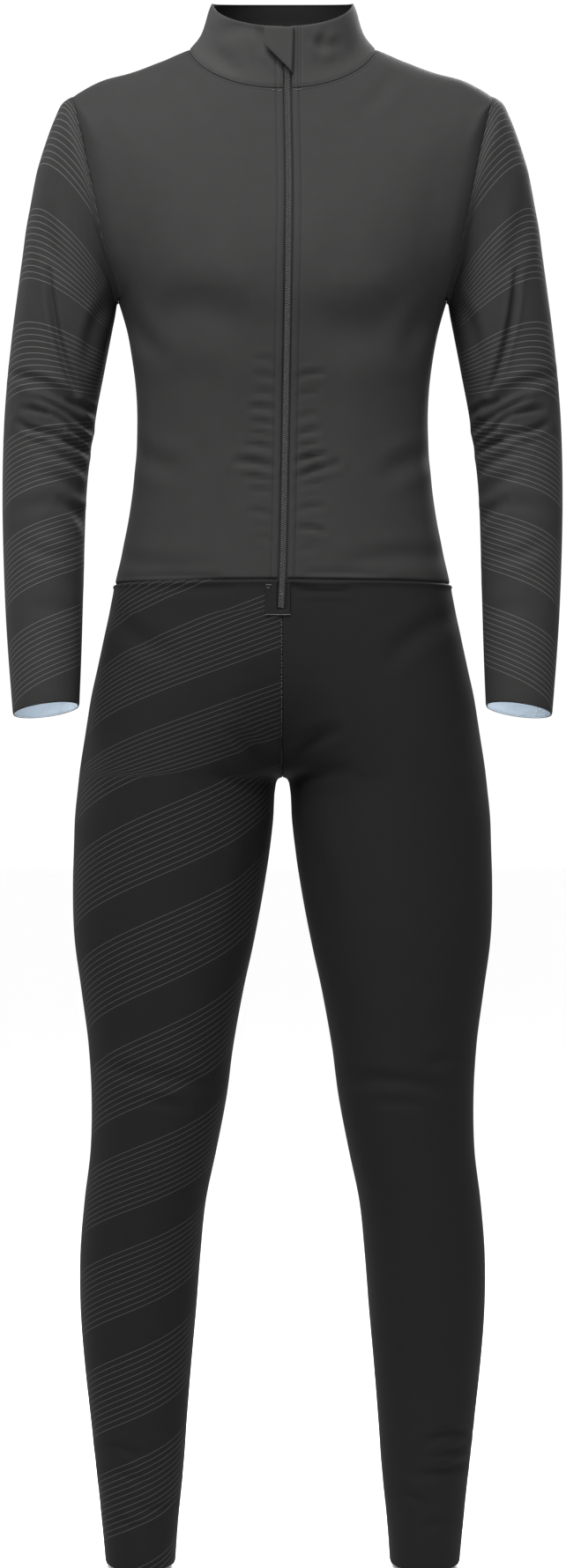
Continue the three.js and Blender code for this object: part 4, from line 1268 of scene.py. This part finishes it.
def make_tape(line):
    """The woven tape, raised in the middle under the coil and lying behind the fronts' edges."""
    profile = TAPE_SIDE + [(-x, out) for x, out in reversed(TAPE_SIDE[:-1])]
    places = np.linspace(TAPE["start"], line.length, round(line.length / TAPE["step"]))
    points, ups, _, acrosses = line.frames(places)
    rows = np.stack([points + acrosses * x + ups * out for x, out in profile], axis=1)
    tape = Sheet("zip_chain", rows, 0, cell=TAPE["cell"])
    piece = cloth(tape, TAPE_CLOTH, TAPE_CLOTH, thickness=TAPE["thick"])
    piece.name = "zip_tape"
    declare_cut(tape)


def guard_rows():
    rows = []
    for down in np.linspace(0, 1, GUARD_DOWN + 1):
        row = []
        for share in GUARD_SHARES:
            rim_x = mix(GUARD["sewnTopX"], GUARD["freeX"], share)
            top = body_front_at(RIM, rim_x, 0)[2] - GUARD["topClear"]
            z = mix(top, mix(GUARD["sewnFootZ"], GUARD["freeFootZ"], share), down)
            x = mix(mix(GUARD["sewnTopX"], GUARD["sewnFootX"], down), GUARD["freeX"], share)
            rise = (GUARD["raised"] - GUARD["seat"]) * float(smoothstep(share / GUARD_SHARES[1]))
            out = GUARD["seat"] + rise + GUARD["freeRise"] * share ** 2 + GUARD["wall"]
            row.append(front_at(x, z, out))
        rows.append(row)
    return np.array(rows)


def make_guard():
    """The flap over the top of the zip: folded edges, sewn down at the wearer's left."""
    guard = Sheet("zip_guard", guard_rows(), 0, cell=GUARD["cell"])
    for side in ("top", "foot", "last"):
        guard.press(side, *GUARD_FOLD)
    guard.press("first", GUARD_SEAM)
    piece = cloth(guard, COLLAR_KNIT, COLLAR_KNIT, thickness=GUARD["wall"])
    declare_cut(guard)


def patch_rise(rim):
    """How far the patch stands off the legs at a distance from its rim, which is rolled."""
    roll = PATCH["roll"] * bell(rim - PATCH["rollAt"], PATCH["rollWide"])
    return PATCH["seat"] + PATCH["wall"] + roll - PATCH["wall"] * bell(max(rim, 0), PATCH["rimWide"])


def make_patch():
    """The patch round the zip's end: open at the waist seam, with a rolled rim."""
    drops = np.linspace(PATCH["top"], PATCH["foot"], PATCH["rows"])
    across = np.linspace(PATCH["rightX"], PATCH["leftX"], PATCH["columns"])
    slot_x = zip_x(WAIST_Z - ZIP_END / 2)
    points, normals = [], []
    for drop in drops:
        for x in across:
            base, above = leg_front_at(drop, x, 0), leg_front_at(drop, x, 1)
            side = min(x - PATCH["rightX"], PATCH["leftX"] - x)
            slot = abs(x - slot_x) - PATCH["slotHalf"] if drop < ZIP_END else PATCH["foot"]
            points.append(base + (above - base) * patch_rise(min(side, PATCH["foot"] - drop, slot)))
            normals.append(above - base)
    points = np.array(points)
    whole = [
        drop >= ZIP_END or abs(x - slot_x) >= PATCH["slotHalf"]
        for drop in (drops[:-1] + drops[1:]) / 2
        for x in (across[:-1] + across[1:]) / 2
    ]
    faces = outward(grid_faces(len(drops), len(across))[whole], points, np.array(normals))
    piece = mesh_object("zip_end_patch_cloth", points, faces, [LEG_KNIT_WITH_PAINTED_SHADE, LEG_KNIT_WITH_PAINTED_SHADE], points[:, [0, 2]])
    thicken(piece, PATCH["thick"])
    carry(piece, "lower_knit", "zip_end_patch")


def carry(piece, slot, *nodes):
    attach(piece, "root")
    if nodes:
        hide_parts(*nodes)
    return piece


# Stitches

def inner_line(sheet, side, distance, from_row=0):
    """A line on a piece at a distance inside one of its edges, with its normals."""
    grids = np.array([sheet.points, sheet.normals])
    if side in ("first", "last"):
        grids = np.swapaxes(grids, 1, 2)
    if side in ("last", "foot"):
        grids = grids[:, ::-1]
    grids = grids[:, :EDGE_SEARCH]
    gaps = np.linalg.norm(grids[0] - grids[0, 0], axis=2)
    line, ups = (
        np.array([along_line(grid[:, k], gaps[:, k], distance) for k in range(grid.shape[1])])
        for grid in grids
    )
    if from_row:
        chosen = sheet.row_at >= from_row - SAME_ROW
        line, ups = line[chosen], ups[chosen]
    return line, ups


def thread_beads(line, ups, size=STITCH):
    """Short stitches end to end along a line, each a low bead of five points."""
    lengths = arc_lengths(line)
    places = np.arange(size["pitch"] / 2, lengths[-1], size["pitch"])
    up = along_line(ups, lengths, places)
    before, here, after = (
        along_line(line, lengths, places + step) for step in (-LOOK_AHEAD, 0, LOOK_AHEAD)
    )
    ahead = unit(after - before)
    beside = np.cross(ahead, up) * size["wide"] / 2
    reach = ahead * size["long"] / 2
    base, high = here + up * THREAD_RISE, up * size["high"]
    foot = base - high * THREAD_SUNK
    return np.stack([foot - reach, base - beside, base + high, base + beside, foot + reach], axis=1)


def tack(x1, z1, x2, z2, out, size=TACK):
    """A bar of close stitches on the suit's front, from one place to another."""
    places = [(mix(x1, x2, share), mix(z1, z2, share)) for share in np.linspace(0, 1, TACK_SAMPLES)]
    line, raised = (np.array([front_at(x, z, out + up) for x, z in places]) for up in (0, 1))
    return thread_beads(line, raised - line, size)


def make_threads(name, material, slot, beads):
    """Rows of stitches gathered into one mesh."""
    points = np.concatenate(beads).reshape(-1, 3)
    faces = [
        tuple(first + k for k in face)
        for first in range(0, len(points), BEAD_POINTS)
        for face in BEAD_FACES
    ]
    carry(mesh_object(name, points, faces, [material]), slot)


def make_stitches(sheets):
    upper, lower = [], []
    for name, sheet in sheets.items():
        rows = lower if name.startswith("leg") else upper
        for side in SEWN[kind(name)] + ["last"] * sheet.closed:
            rows.append(thread_beads(*inner_line(sheet, side, SEAM_ROW)))
        if name.startswith("leg_front"):
            rows.append(thread_beads(*inner_line(sheet, "first", SEAM_ROW, ZIP_END_ROW + 1)))
    for name, side, distances in ZIP_SIDES:
        for distance in distances:
            upper.append(thread_beads(*inner_line(sheets[name], side, distance)))
    pale = [tack(*place) for place in zip(*TACKS.values())]
    x, start, end = CENTRE_FLECKS["x"], CENTRE_FLECKS["from"], CENTRE_FLECKS["to"]
    for z in np.arange(start, end, -CENTRE_FLECKS["pitch"]):
        pale.append(tack(x, z, x, z - CENTRE_FLECKS["long"], 0, FLECK))
    make_threads("stitches_upper", THREAD, "upper_knit", upper)
    make_threads("stitches_lower", LEG_THREAD, "lower_knit", lower)
    make_threads("tacks", PALE_THREAD, "upper_knit", pale)


def dress_nodes():
    """Gives the solids that still show their finish: the slider and its pull tab."""
    for name in ("zip_slider", "zip_pull"):
        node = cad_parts[name]
        for place in node.material_slots:
            place.material = DARK_METAL


# Room

def make_room():
    floor_sheet()
    world = bpy.data.worlds.new("room")
    bpy.context.scene.world = world
    world.use_nodes = True
    background = world.node_tree.nodes["Background"]
    feed(background.inputs["Color"], (1, 1, 1))
    feed(background.inputs["Strength"], ROOM_LIGHT)
    for box in SOFTBOXES:
        softbox(*box)


def floor_sheet():
    """A plain pale floor."""
    reach, z = FLOOR["reach"], FLOOR["z"]
    points = [(x * reach, y * reach, z) for x, y in ((-1, -1), (1, -1), (1, 1), (-1, 1))]
    material, shader = nodes_of("pale_floor", grey(FLOOR["level"]), FLOOR["rough"])
    fine = noise(object_places(shader.id_data), FLOOR["grain"], 4)
    dark, light = grey(FLOOR["level"] - FLOOR["spread"]), grey(FLOOR["level"] + FLOOR["spread"])
    feed(shader.inputs["Base Color"], mix_colors(fine, dark, light))
    return mesh_object("floor", points, [(0, 1, 2, 3)], [material])


def softbox(name, place, target, size, watts, spread):
    light = bpy.data.lights.new(name, "AREA")
    light.shape = "RECTANGLE"
    light.size = size * MM
    light.size_y = size * SOFTBOX_TALL * MM
    light.energy = watts
    light.spread = math.radians(spread)
    lamp = bpy.data.objects.new(name, light)
    lamp.location = np.array(place) * MM
    way = Vector(np.array(target) * MM) - lamp.location
    lamp.rotation_euler = way.to_track_quat("-Z", "Y").to_euler()
    bpy.context.scene.collection.objects.link(lamp)


def make_camera():
    camera = bpy.data.cameras.new("camera")
    camera.lens = CAMERA["lens"]
    camera.sensor_width = CAMERA["sensor"]
    camera.clip_end = CAMERA["far"] * MM
    view = bpy.data.objects.new("camera", camera)
    view.location = (CAMERA["x"] * MM, CAMERA["y"] * MM, CAMERA["z"] * MM)
    view.rotation_euler = (math.pi / 2, 0, 0)
    bpy.context.scene.collection.objects.link(view)
    bpy.context.scene.camera = view


bpy.context.scene.view_settings.view_transform = "Standard"
make_camera()
make_room()
SHEETS = make_sheets()
share_normals(SHEETS)
fold_sheets(SHEETS)
sew_sheets(SHEETS)
make_cloth(SHEETS)
ZIP = ZipLine()
make_coil(ZIP)
make_tape(ZIP)
make_guard()
make_patch()
make_stitches(SHEETS)
dress_nodes()
